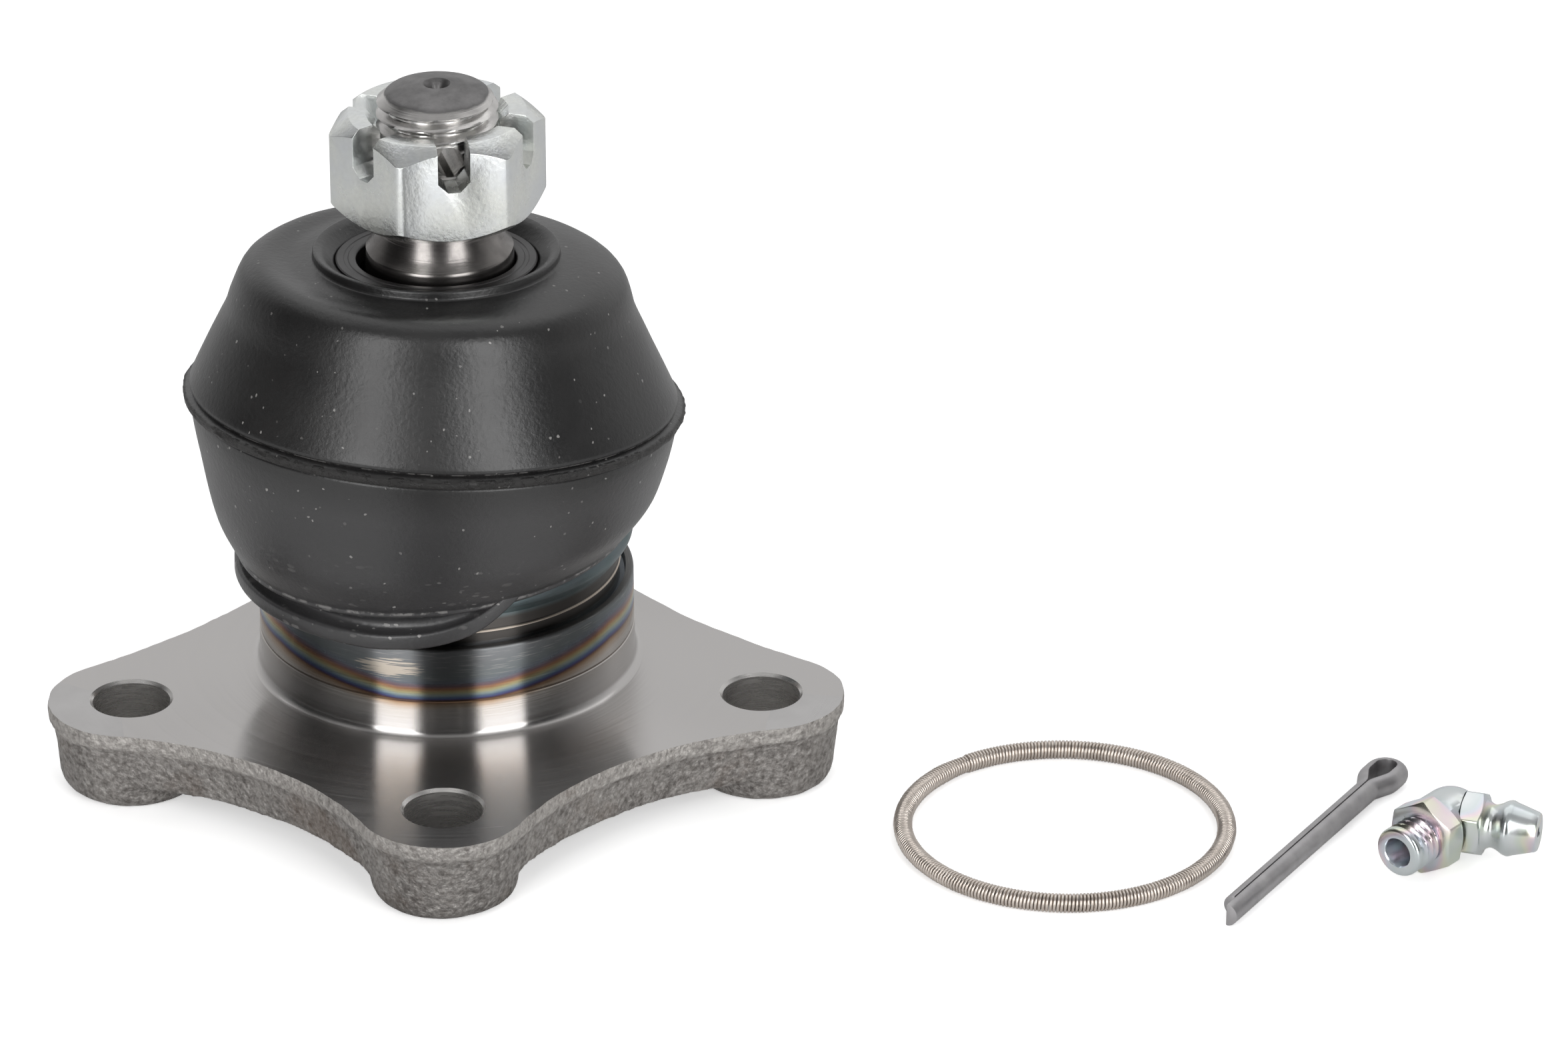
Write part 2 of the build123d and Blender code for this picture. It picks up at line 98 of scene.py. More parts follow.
# %% Helpers for shader nodes
def add_node(tree, kind, inputs=None, **options):
    """Adds a node; inputs maps a socket's name or number to a value or to another socket"""
    made = tree.nodes.new(kind)
    for option, value in options.items():
        setattr(made, option, value)
    for key, value in (inputs or {}).items():
        if isinstance(value, bpy.types.NodeSocket):
            tree.links.new(value, made.inputs[key])
        else:
            made.inputs[key].default_value = value
    return made


def math_node(tree, operation, first, second=0.0, clamp=False):
    """One sum, product or other calculation"""
    made = add_node(
        tree, "ShaderNodeMath", {0: first, 1: second}, operation=operation, use_clamp=clamp
    )
    return made.outputs[0]


def ramp(tree, value, stops):
    """A colour ramp with a list of (place, colour) stops"""
    made = add_node(tree, "ShaderNodeValToRGB", {"Fac": value})
    elements = made.color_ramp.elements
    while len(elements) < len(stops):
        elements.new(0.5)
    for element, (place, colour) in zip(elements, stops):
        element.position = place
        element.color = (*colour, 1)
    return made.outputs["Color"]


def spread(tree, value, low, high, to_low=0.0, to_high=1.0):
    """Moves a value from one range to another and keeps it there"""
    made = add_node(
        tree,
        "ShaderNodeMapRange",
        {"Value": value, "From Min": low, "From Max": high, "To Min": to_low, "To Max": to_high},
    )
    return made.outputs["Result"]


print("Node helpers are ready")

# %% [markdown]
# Every material starts in the same way, from a Principled shader with its metallic and roughness
# values, and reads the object's own coordinates. So one helper makes that start.

# %% Helpers for colour mixes, groups and materials
def mix_colour(tree, factor, first, second, blend_type="MIX"):
    """Two colours mixed by a factor"""
    made = add_node(tree, "ShaderNodeMix", data_type="RGBA", blend_type=blend_type)
    sockets = (made.inputs[0], made.inputs[6], made.inputs[7])
    for socket, value in zip(sockets, (factor, first, second)):
        if isinstance(value, bpy.types.NodeSocket):
            tree.links.new(value, socket)
        elif socket == made.inputs[0]:
            socket.default_value = value
        else:
            socket.default_value = (*value, 1)
    return made.outputs[2]


def new_group(name, inputs, output_names):
    """Starts a node group and returns its tree, its input sockets and its output node"""
    tree = bpy.data.node_groups.new(name, "ShaderNodeTree")
    for label, value in inputs.items():
        kind = "NodeSocketVector" if label == "Vector" else "NodeSocketFloat"
        socket = tree.interface.new_socket(label, in_out="INPUT", socket_type=kind)
        if label != "Vector":
            socket.default_value = value
    for label in output_names:
        tree.interface.new_socket(label, in_out="OUTPUT", socket_type="NodeSocketFloat")
    source = tree.nodes.new("NodeGroupInput")
    sink = tree.nodes.new("NodeGroupOutput")
    return tree, source.outputs, sink


def use_group(tree, group, inputs):
    """Places a node group in a material with its own values"""
    made = tree.nodes.new("ShaderNodeGroup")
    made.node_tree = group
    for key, value in inputs.items():
        if isinstance(value, bpy.types.NodeSocket):
            tree.links.new(value, made.inputs[key])
        else:
            made.inputs[key].default_value = value
    return made.outputs


def new_material(name, metallic, roughness, colour=(0.5, 0.5, 0.5), **sockets):
    """A material with a Principled shader; returns it, its tree, shader and coordinates"""
    material = bpy.data.materials.new(name)
    material.use_nodes = True
    tree = material.node_tree
    shader = tree.nodes["Principled BSDF"]
    shader.inputs["Metallic"].default_value = metallic
    shader.inputs["Roughness"].default_value = roughness
    shader.inputs["Base Color"].default_value = (*colour, 1)
    for label, value in sockets.items():
        shader.inputs[label.replace("_", " ")].default_value = value
    place = tree.nodes.new("ShaderNodeTexCoord").outputs["Object"]
    return material, tree, shader, place


def bump(tree, shader, height, distance, strength=1.0):
    """Feeds a height through a Bump node into the shader's normal"""
    made = add_node(
        tree, "ShaderNodeBump", {"Height": height, "Distance": distance, "Strength": strength}
    )
    tree.links.new(made.outputs["Normal"], shader.inputs["Normal"])


print("Group and material helpers are ready")

# %% [markdown]
# ## Effects that several finishes share
# A lathe leaves fine grooves that run round the part, so their height changes with the radius
# and the height but hardly at all with the angle. A noise texture read at (radius, height,
# angle) gives just that. Dust and specks are small islands of a Voronoi texture, and mottling
# is plain noise squeezed between two limits.

# %% Build the shared node groups
def make_turning_marks():
    """Fine rings as a lathe leaves them, from coordinates centred on the turning axis"""
    tree, given, sink = new_group(
        "turning_marks", {"Vector": None, "Pitch": 0.0004, "Wander": 2.0}, ["Height"]
    )
    split = add_node(tree, "ShaderNodeSeparateXYZ", {0: given["Vector"]})
    squares = [math_node(tree, "POWER", split.outputs[axis], 2.0) for axis in "XY"]
    radius = math_node(tree, "SQRT", math_node(tree, "ADD", *squares))
    angle = math_node(tree, "ARCTAN2", split.outputs["Y"], split.outputs["X"])
    turn = math_node(tree, "SINE", math_node(tree, "MULTIPLY", angle, 0.5))
    marks = add_node(
        tree,
        "ShaderNodeCombineXYZ",
        {
            "X": math_node(tree, "DIVIDE", radius, given["Pitch"]),
            "Y": math_node(tree, "DIVIDE", split.outputs["Z"], given["Pitch"]),
            "Z": math_node(tree, "MULTIPLY", turn, given["Wander"]),
        },
    )
    noise_node = add_node(
        tree, "ShaderNodeTexNoise", {"Vector": marks.outputs[0], "Scale": 1.0, "Detail": 3.0}
    )
    tree.links.new(noise_node.outputs["Fac"], sink.inputs["Height"])
    return tree


def make_mottle():
    """Cloudy patches squeezed between two limits"""
    tree, given, sink = new_group(
        "mottle", {"Vector": None, "Scale": 100.0, "Low": 0.4, "High": 0.6}, ["Mask"]
    )
    noise_node = add_node(
        tree,
        "ShaderNodeTexNoise",
        {"Vector": given["Vector"], "Scale": given["Scale"], "Detail": 6.0, "Roughness": 0.6},
    )
    mask = spread(tree, noise_node.outputs["Fac"], given["Low"], given["High"])
    tree.links.new(mask, sink.inputs["Mask"])
    return tree


def make_specks():
    """Scattered specks: a few cells of a Voronoi pattern, each with a ragged spot"""
    tree, given, sink = new_group(
        "specks", {"Vector": None, "Scale": 400.0, "Size": 0.2, "Share": 0.3}, ["Mask"]
    )
    bend = add_node(tree, "ShaderNodeTexNoise", {"Vector": given["Vector"], "Scale": 900.0})
    bent = add_node(
        tree,
        "ShaderNodeVectorMath",
        {0: bend.outputs["Color"], "Scale": 0.0006},
        operation="SCALE",
    )
    ragged = add_node(
        tree, "ShaderNodeVectorMath", {0: given["Vector"], 1: bent.outputs[0]}, operation="ADD"
    )
    cells = add_node(
        tree, "ShaderNodeTexVoronoi", {"Vector": ragged.outputs[0], "Scale": given["Scale"]}
    )
    chosen = add_node(tree, "ShaderNodeSeparateColor", {0: cells.outputs["Color"]})
    size = math_node(tree, "MULTIPLY", given["Size"], chosen.outputs["Green"])
    near = math_node(tree, "LESS_THAN", cells.outputs["Distance"], size)
    picked = math_node(tree, "LESS_THAN", chosen.outputs["Red"], given["Share"])
    spot = math_node(tree, "MULTIPLY", near, picked)
    tree.links.new(math_node(tree, "MULTIPLY", spot, chosen.outputs["Blue"]), sink.inputs["Mask"])
    return tree


turning_marks = make_turning_marks()
mottle = make_mottle()
specks = make_specks()
print("Shared effects:", [group.name for group in bpy.data.node_groups])

# %% [markdown]
# ## Mesh helpers
# Nearly every piece here was turned, so the main tool is the spin operator: a short profile of
# radius and height is spun once round the axis. Afterwards doubled points are welded and the
# faces are turned outwards, because a spin can leave them either way.

# %% Helper that turns a profile
weld = 0.002 * mm


def lathe(profile, steps=128, place=None):
    """A new bmesh: a profile of (radius, height) millimetres spun once round Z"""
    bm = bmesh.new()
    corners = [bm.verts.new((radius * mm, 0, height * mm)) for radius, height in profile]
    outline = [bm.edges.new(pair) for pair in zip(corners, corners[1:])]
    bmesh.ops.spin(
        bm,
        geom=corners + outline,
        cent=(0, 0, 0),
        axis=(0, 0, 1),
        angle=math.tau,
        steps=steps,
        use_merge=True,
    )
    bmesh.ops.remove_doubles(bm, verts=bm.verts, dist=weld)
    bmesh.ops.recalc_face_normals(bm, faces=bm.faces)
    if place:
        bm.transform(place)
    return bm


print("The lathe stands ready, and welds points closer than", weld / mm, "mm")

# %% [markdown]
# A profile is a list of points, and most of its points are plain measured ones. Its rounded
# stretches come from an arc, and its long straight ones from evenly spaced rows, which a thread
# needs because it moves the vertices in between.

# %% Helpers for profiles
def arc(centre, radius, start, end, steps):
    """Points of a profile's arc; centre is (radius, height) and the angles are in degrees"""
    turns = [math.radians(start + (end - start) * step / steps) for step in range(steps + 1)]
    return [
        (centre[0] + radius * math.cos(turn), centre[1] + radius * math.sin(turn))
        for turn in turns
    ]


def rows(start, end, spacing):
    """Evenly spaced (radius, height) points from one point to another, both included"""
    count = max(1, round(math.dist(start, end) / spacing))
    return [
        tuple(a + (b - a) * step / count for a, b in zip(start, end)) for step in range(count + 1)
    ]


print("A quarter arc in four steps has", len(arc((0, 0), 1, 0, 90, 4)), "points")

# %% [markdown]
# Cuts and joins are booleans with the exact solver, and edges are rounded with a bevel at the
# end. Both are modifiers, so one helper puts what they make into the mesh itself. The last
# helper dresses a finished piece and names the body it rides on.

# %% Helpers for cuts, rounded edges and dressing
def as_object(name, bm):
    """Hands a bmesh over to a new object"""
    mesh = bpy.data.meshes.new(name)
    bm.to_mesh(mesh)
    bm.free()
    made = bpy.data.objects.new(name, mesh)
    bpy.context.scene.collection.objects.link(made)
    return made


def apply_modifiers(piece):
    """Puts what the modifiers make into the mesh itself"""
    graph = bpy.context.evaluated_depsgraph_get()
    mesh = bpy.data.meshes.new_from_object(piece.evaluated_get(graph), depsgraph=graph)
    piece.modifiers.clear()
    piece.data = mesh


def combine(piece, others, operation="DIFFERENCE"):
    """Cuts other objects out of a piece, joins them to it or keeps what they share"""
    for other in others:
        modifier = piece.modifiers.new(operation.lower(), "BOOLEAN")
        modifier.operation = operation
        modifier.solver = "EXACT"
        modifier.object = other
    apply_modifiers(piece)
    for other in others:
        bpy.data.objects.remove(other)


def soften_edges(piece, width, angle=30, segments=3):
    """Rounds a piece's sharp edges by a width in millimetres"""
    modifier = piece.modifiers.new("soft_edges", "BEVEL")
    modifier.width = width * mm
    modifier.segments = segments
    modifier.limit_method = "ANGLE"
    modifier.angle_limit = math.radians(angle)
    modifier.harden_normals = False
    apply_modifiers(piece)


def dress(piece, materials, body, replaced=(), sharp=35):
    """Smooth shading, materials, the body it rides on and the CAD nodes it stands for"""
    mesh = piece.data
    mesh.shade_smooth()
    mesh.set_sharp_from_angle(angle=math.radians(sharp))
    if materials:
        mesh.materials.clear()
        for material in materials:
            mesh.materials.append(material)
    if body:
        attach(piece, body)
    if replaced:
        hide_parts(*replaced)
    print(piece.name, "has", len(mesh.polygons), "faces")
    return piece


print("Mesh helpers are ready")

# %% [markdown]
# ## Sizes taken from the measured part
# The dressed pieces have to sit exactly where the measured ones do, so the sizes that both
# share are written down once, in millimetres, from the flange's top face upwards.

# %% Shared sizes, in millimetres
ground = -10.3
hole_r = 4.5
lobes = [Vector((*place, 0)) for place in ((36.6, -11.4), (0, 39.2), (-36.6, -11.4), (0, -39.2))]
hollow_radii = [80.0, 80.0, 41.0, 41.0]
lobe_r = 9.6
ball_centre = 7.0
ball_r = 12.5
stud_top = 72.5
nut_bottom = 57.1
nut_top = 69.0
print("The joint stands", stud_top - ground, "mm tall")

# %% [markdown]
# ## Forged and turned flange
# The real flange starts as a hot forging: a rough blank with sloping sides, rounded corners and
# a ragged line where the two dies met. Only then is it machined: a lathe faces the top, and
# drills make the holes. We work in the same order. The blank is joined from simple solids,
# remeshed with small even faces so that its inner corners can be smoothed, and roughened. Then
# sharp cuts make the machined faces, which is why their edges against the rough skin look real.

# %% Outline of the flange as one loop of arcs
def flange_loop(bm, margin, height):
    """The lobed outline moved inwards by a margin; each arc is a vertex spun about a centre"""
    count = len(lobes)
    tips = []
    for index, hollow_r in enumerate(hollow_radii):
        here, after = lobes[index], lobes[(index + 1) % count]
        gap = after - here
        along = gap.length / 2
        away = math.sqrt((hollow_r + lobe_r) ** 2 - along**2)
        side = Vector((gap.y, -gap.x, 0)).normalized()
        centre = here + gap / 2 + side * away
        start = centre + (here - centre).normalized() * (hollow_r + margin)
        end = centre + (after - centre).normalized() * (hollow_r + margin)
        tips.append((start, centre, end))
    lift = Vector((0, 0, height))
    corners = []
    for index, (start, centre, end) in enumerate(tips):
        leave = tips[(index + 1) % count][0]
        corners += spin_arc(bm, start + lift, centre, end + lift, 40)
        corners += spin_arc(bm, end + lift, lobes[(index + 1) % count], leave + lift, 28)
    bmesh.ops.remove_doubles(bm, verts=corners, dist=weld)


def spin_arc(bm, start, centre, end, steps):
    """Spins a vertex from start to end about a centre, the short way for a hollow"""
    first = bm.verts.new(start * mm)
    a = math.atan2(start.y - centre.y, start.x - centre.x)
    b = math.atan2(end.y - centre.y, end.x - centre.x)
    turn = (b - a + math.pi) % math.tau - math.pi
    bmesh.ops.spin(
        bm, geom=[first], cent=centre * mm, axis=(0, 0, 1), angle=turn, steps=steps
    )
    return list(bm.verts)[-steps - 1 :]


def outline_edges(bm, height):
    """Edges that lie flat at a height"""
    return [
        edge
        for edge in bm.edges
        if all(abs(corner.co.z - height * mm) < weld for corner in edge.verts)
    ]


def flange_blank():
    """Plate of the forging: loops of its sloping side bridged one to the next, and closed"""
    levels = [(0.0, 1.0), (0.0, -1.9), (0.45, -2.15), (0.98, -7.2)]
    bm = bmesh.new()
    for margin, height in levels:
        flange_loop(bm, margin, height)
    for (_, upper), (_, lower) in zip(levels, levels[1:]):
        bmesh.ops.bridge_loops(bm, edges=outline_edges(bm, upper) + outline_edges(bm, lower))
    for height in (levels[0][1], levels[-1][1]):
        bmesh.ops.contextual_create(bm, geom=outline_edges(bm, height))
    bmesh.ops.recalc_face_normals(bm, faces=bm.faces)
    return as_object("flange_blank", bm)


blank = flange_blank()
print("Flange blank:", len(blank.data.polygons), "faces")

# %% [markdown]
# ## Bosses under the bolt holes
# Four round bosses carry the flange, and a hub closes it below the ball. They are plain turned
# shapes, so each is lathed by itself and joined to the blank with a boolean. That leaves hard
# inner corners, which the next step softens.

# %% Bosses and hub, joined to the blank
def boss(centre):
    """Round boss under one bolt hole, with a rounded foot"""
    profile = [(0, -5.0), (8.76, -5.0), (8.45, -8.9), *arc((6.95, -8.9), 1.4, 0, -90, 6)]
    return as_object("boss", lathe(profile + [(0, ground)], 64, Matrix.Translation(centre * mm)))


hub_profile = [(0, 0.5), (23.5, 0.5), (23.5, -6.6), (20.6, -7.6), (20.2, -10.0), (0, -10.0)]
hub = as_object("hub", lathe(hub_profile, 128))
combine(blank, [boss(centre) for centre in lobes] + [hub], "UNION")
print("Joined forging:", len(blank.data.polygons), "faces")

# %% [markdown]
# ## Forged skin as geometry
# Hot steel never leaves a die quite smooth. A voxel remesh gives the joined blank small, even
# faces, a smoothing pass rounds its inner corners, and three sizes of noise push the vertices in
# and out, most of all along the line where the dies met. A bump map alone would leave the
# outline as straight as a ruler.

# %% Remesh, smooth and roughen the forging
die_line, die_line_reach = -1.0, 1.6


def roughen(piece, finest):
    """Small even faces, soft inner corners, and the uneven skin that scale and dies leave"""
    remesh = piece.modifiers.new("remesh", "REMESH")
    remesh.mode = "VOXEL"
    remesh.voxel_size = finest * mm
    smooth = piece.modifiers.new("smooth", "SMOOTH")
    smooth.factor = 0.5
    smooth.iterations = 3
    apply_modifiers(piece)
    bm = bmesh.new()
    bm.from_mesh(piece.data)
    bm.normal_update()
    for vert in bm.verts:
        near_line = max(0.0, 1 - abs(vert.co.z / mm - die_line) / die_line_reach)
        waves = noise.noise(vert.co * 180) * 0.14 + noise.noise(vert.co * 700) * 0.05
        ragged = noise.noise(Vector((vert.co.x, vert.co.y, vert.co.z * 0.5)) * 900) * 0.16
        vert.co += vert.normal * (waves + near_line * (ragged + 0.03)) * mm
    bm.to_mesh(piece.data)
    bm.free()


roughen(blank, 0.45)
print("Roughened forging:", len(blank.data.polygons), "faces")

# %% [markdown]
# ## Machining
# Now the cuts: a box takes the top down to its exact plane, a turned cutter with a cone on it
# drills and chamfers each hole at once, and a plain rod opens the middle for the socket.

# %% Face the top and drill the holes
def box_cutter(name, low, high):
    """A plain box between two corners, in millimetres"""
    bm = bmesh.new()
    bmesh.ops.create_cube(bm, size=1)
    size, middle = Vector(high) - Vector(low), (Vector(high) + Vector(low)) / 2
    bmesh.ops.scale(bm, vec=size * mm, verts=bm.verts)
    bmesh.ops.translate(bm, vec=middle * mm, verts=bm.verts)
    return as_object(name, bm)


def drill(centre):
    """Cutter for one bolt hole, with the chamfer that breaks its upper edge"""
    profile = [(0, 3), (7.85, 3), (4.85, 0), (hole_r, -0.35), (hole_r, -12), (0, -12)]
    return as_object("drill", lathe(profile, 96, Matrix.Translation(centre * mm)))


bore = as_object("bore", lathe([(0, 3), (21.0, 3), (21.0, -12), (0, -12)], 128))
facing = box_cutter("facing", (-60, -60, 0), (60, 60, 3))
combine(blank, [facing] + [drill(centre) for centre in lobes] + [bore])
print("Machined forging:", len(blank.data.polygons), "faces")

# %% [markdown]
# ## Collar, groove and land
# One lathe profile gives the whole socket body: the fillet where the collar rises from the
# flange, the hair line where the turning tool stepped off, the groove that holds the boot, the
# rounded land above it, and the mouth that the stud swings in. It continues down inside to the
# crimped rim, so that the part is also true where nobody looks.

# %% Turn the socket body
socket_profile = [
    (20.6, -0.6),
    (22.9, -0.6),
    (22.95, -0.02),
    *arc((23.0, 1.0), 1.0, 267, 180, 8),
    (22.0, 4.45),
    (21.88, 4.55),
    (21.88, 4.7),
    (21.93, 4.8),
    (21.9, 10.85),
    *arc((21.55, 10.85), 0.35, 0, 90, 4),
    (21.0, 11.2),
    (20.85, 10.3),
    (20.3, 10.2),
    (20.2, 11.0),
    (20.2, 12.3),
    (20.42, 12.45),
    (20.42, 12.58),
    (20.2, 12.75),
    (20.2, 14.55),
    (20.35, 14.7),
    (20.8, 14.7),
    *arc((20.3, 16.75), 1.62, -50, 50, 12),
    (20.6, 18.8),
    (16.0, 18.8),
    (12.0, 12.3),
    (15.6, 12.3),
    (15.6, -6.9),
    (17.2, -6.9),
    (17.2, -9.4),
    (15.8, -9.4),
    (15.8, -10.0),
    (19.9, -10.0),
    (20.3, -9.6),
    (20.6, -6.0),
    (20.6, -0.6),
]
socket_body = as_object("socket_body", lathe(socket_profile, 192))
combine(blank, [socket_body], "UNION")
blank.name = "flange_housing"
print("Flange with its collar:", len(blank.data.polygons), "faces")

# %% [markdown]
# ## Threaded stud
# A thread is a groove that climbs as it goes round. On a turned rod with closely spaced rows we
# can move each vertex in or out by where it lies along that climb, and fade the depth out at
# both ends, which also gives the run-out of a real thread. The rest of the stud is one profile:
# ball, neck, taper, the hollow relief under the nut, and the domed top with its centre hole.

# %% Helper that cuts a thread into a turned rod
def cut_thread(bm, radius, pitch, bottom, top, start=0.0, root=0.61):
    """Sinks a helical groove between two heights, on a rod that stands on Z"""
    for vert in bm.verts:
        height = vert.co.z / mm
        across = math.hypot(vert.co.x, vert.co.y) / mm
        if not bottom < height < top or across < radius - 1.2:
            continue
        phase = (height / pitch - math.atan2(vert.co.y, vert.co.x) / math.tau - start) % 1
        ridge_shape = min(1.0, max(0.0, abs(phase - 0.5) * 2.6 - 0.22))
        fade = min(1.0, (height - bottom) / (0.7 * pitch), (top - height) / (0.35 * pitch))
        depth = (1 - ridge_shape) * root * pitch * max(0.0, fade)
        scale = min(across, radius - depth) / across
        vert.co.x *= scale
        vert.co.y *= scale


print("The thread helper is ready")

# %% [markdown]
# The profile lists the stud from the ball up. Only the threaded stretch and the long tapers get
# closely spaced rows. The hole for the split pin is drilled across it at the end.

# %% Turn the stud and cut its thread
stud_profile = [
    (0, -2.6),
    *arc((0, ball_centre), ball_r, -50.2, 55.95, 36),
    *rows((7.0, 17.6), (7.0, 20.0), 1.2),
    (7.25, 23.0),
    (8.0, 26.0),
    (8.9, 28.6),
    (9.3, 30.6),
    (9.3, 35.2),
    *rows((9.28, 35.4), (8.5, 51.8), 2.5),
    (8.42, 52.15),
    (8.3, 52.3),
    *arc((12.9, 56.9), 6.35, 226, 181, 10),
    (6.62, 57.2),
    *rows((7.0, 57.6), (7.0, 70.3), 0.125),
    *rows((6.9, 70.38), (6.05, 71.12), 0.2),
    (5.9, 71.3),
    (5.65, 71.5),
    (5.2, 71.7),
    (4.2, 71.98),
    (2.9, 72.25),
    (1.6, 72.42),
    (1.43, 72.3),
    (0.75, 71.3),
    (0.0, 69.6),
]
bm = lathe(stud_profile, 128)
thread_r, thread_pitch, thread_bottom, thread_top = 7.0, 1.5, 57.4, 71.0
cut_thread(bm, thread_r, thread_pitch, thread_bottom, thread_top, start=0.44)
stud = as_object("threaded_stud", bm)
pin_hole_r, pin_hole_height, pin_hole_turn = 1.7, 65.3, -77
cross_place = (
    Matrix.Translation((0, 0, pin_hole_height * mm))
    @ Matrix.Rotation(math.radians(pin_hole_turn), 4, "Z")
    @ Matrix.Rotation(math.radians(90), 4, "Y")
)
cross_profile = [(0, -10), (pin_hole_r, -10), (pin_hole_r, 10), (0, 10)]
combine(stud, [as_object("cross_drill", lathe(cross_profile, 32, cross_place))])
print("Stud:", len(stud.data.polygons), "faces")

# %% [markdown]
# ## Castle nut
# The factory presses a hexagon, chamfers it on a lathe and saws three slots right across. The
# same three steps work here: a hexagonal prism, kept only where a chamfered disc covers it,
# then three slot cutters with broken lower corners, and a bore. A small bevel at the end stands
# for the barrel tumbling that rounds every edge.

# %% Hexagonal bar
def hexagon(across_flats, bottom, top, turn, rounding):
    """Six-sided prism with a corner at the given angle, its upright edges rounded"""
    bm = bmesh.new()
    bmesh.ops.create_circle(
        bm,
        segments=6,
        radius=across_flats / math.sqrt(3) * mm,
        cap_ends=True,
        matrix=Matrix.Translation((0, 0, bottom * mm))
        @ Matrix.Rotation(math.radians(turn - 90), 4, "Z"),
    )
    raised = bmesh.ops.extrude_face_region(bm, geom=bm.faces[:])["geom"]
    corners = [item for item in raised if isinstance(item, bmesh.types.BMVert)]
    bmesh.ops.translate(bm, vec=(0, 0, (top - bottom) * mm), verts=corners)
    upright = [edge for edge in bm.edges if abs(edge.verts[0].co.z - edge.verts[1].co.z) > weld]
    bmesh.ops.bevel(
        bm,
        geom=upright,
        offset=rounding * mm,
        segments=4,
        profile=0.5,
        affect="EDGES",
        material=-1,
    )
    bmesh.ops.recalc_face_normals(bm, faces=bm.faces)
    return bm


nut_flats = 22.0
print("The nut is", round(nut_flats * 2 / math.sqrt(3), 2), "mm across its corners")

# %% [markdown]
# The slots are sawn last, so that they cut through the chamfer as on the real nut. The lower
# corners of the saw cut are broken, which a bevel on the cutter gives.

# %% Cut the nut from the bar
nut_turn = 10.7
slot_width, slot_depth, slot_corner = 3.7, 5.5, 1.15


def slot_cutter(turn):
    """Bar that saws one slot right across the nut, its lower corners broken"""
    bm = bmesh.new()
    bmesh.ops.create_cube(bm, size=1)
    bmesh.ops.scale(bm, vec=Vector((30, slot_width, slot_depth * 2)) * mm, verts=bm.verts)
    lower = [
        edge
        for edge in bm.edges
        if all(corner.co.z < 0 for corner in edge.verts)
        and abs(edge.verts[0].co.y - edge.verts[1].co.y) < weld
    ]
    bmesh.ops.bevel(
        bm,
        geom=lower,
        offset=slot_corner * mm,
        segments=1,
        profile=0.5,
        affect="EDGES",
        material=-1,
    )
    bm.transform(
        Matrix.Translation((0, 0, nut_top * mm)) @ Matrix.Rotation(math.radians(turn), 4, "Z")
    )
    return as_object("slot_cutter", bm)


nut = as_object("slotted_nut", hexagon(nut_flats, nut_bottom, nut_top, nut_turn, rounding=0.7))
chamfer_disc = lathe(
    [
        (0, nut_bottom),
        (10.4, nut_bottom),
        (12.9, nut_bottom + 1.9),
        (12.9, nut_top - 2.3),
        (10.2, nut_top),
        (0, nut_top),
    ],
    192,
)
combine(nut, [as_object("chamfer_disc", chamfer_disc)], "INTERSECT")
bore_profile = [
    (0, nut_bottom - 0.6),
    (7.6, nut_bottom - 0.6),
    (7.6, nut_bottom),
    (7.12, nut_bottom + 0.5),
    (7.12, nut_top - 1.1),
    (8.2, nut_top),
    (8.2, nut_top + 0.6),
    (0, nut_top + 0.6),
]
nut_bore = as_object("nut_bore", lathe(bore_profile, 128))
combine(nut, [slot_cutter(nut_turn + 30 + turn) for turn in (0, 60, 120)] + [nut_bore])
soften_edges(nut, 0.25, 25, 3)
print("Nut:", len(nut.data.polygons), "faces")

# %% [markdown]
# ## Dust boot
# The boot is turned straight first, as two shells that meet at the widest ring, and then every
# vertex is pushed to where the real, crooked boot has it. The push is a small tilt and shift
# that depend on the height alone.

# %% How the boot leans at each height
ridge_height = 33.0
Lean = namedtuple("Lean", "height shift right_down front_up")
leans = [
    Lean(16.7, -1.25, -4.3, -1.1),
    Lean(21.4, -1.0, -1.8, 0.8),
    Lean(27.0, -1.0, 1.6, 3.0),
    Lean(ridge_height, -1.0, 3.4, 5.4),
    Lean(39.9, -1.0, 3.2, 5.0),
    Lean(44.7, -1.0, 2.6, 4.6),
    Lean(47.6, -0.4, 1.8, 4.0),
    Lean(49.3, -0.4, 1.0, 3.4),
    Lean(49.8, -0.4, 0.6, 3.0),
]


def lean_at(height):
    """Tilt and shift of the boot at a height, as a matrix in millimetres"""
    if height <= leans[0].height:
        now = leans[0]
    elif height >= leans[-1].height:
        now = leans[-1]
    else:
        over = next(lean for lean in leans if lean.height > height)
        under = leans[leans.index(over) - 1]
        part = (height - under.height) / (over.height - under.height)
        now = Lean(*(a + (b - a) * part for a, b in zip(under, over)))
    normal = Vector(
        (math.sin(math.radians(now.right_down)), math.sin(math.radians(now.front_up)), 1)
    )
    tilt = Vector((0, 0, 1)).rotation_difference(normal.normalized()).to_matrix().to_4x4()
    return Matrix.Translation((now.shift, 0, height)) @ tilt


print("The boot leans at", len(leans), "heights")

# %% [markdown]
# The air inside has pushed the crown up a little, the thin flash at the ridge is torn, and the
# finish needs to know each point's height before the bending. These four helpers see to that.
# Smooth step is the usual gentle ramp from 0 to 1.

# %% Helpers for the boot's surface
def smooth_step(value):
    """Rises gently from 0 to 1 as the value does"""
    value = min(1.0, max(0.0, value))
    return value * value * (3 - 2 * value)


rim_raised, crown_from, shoulder_from = 1.1, 43.5, 16.5


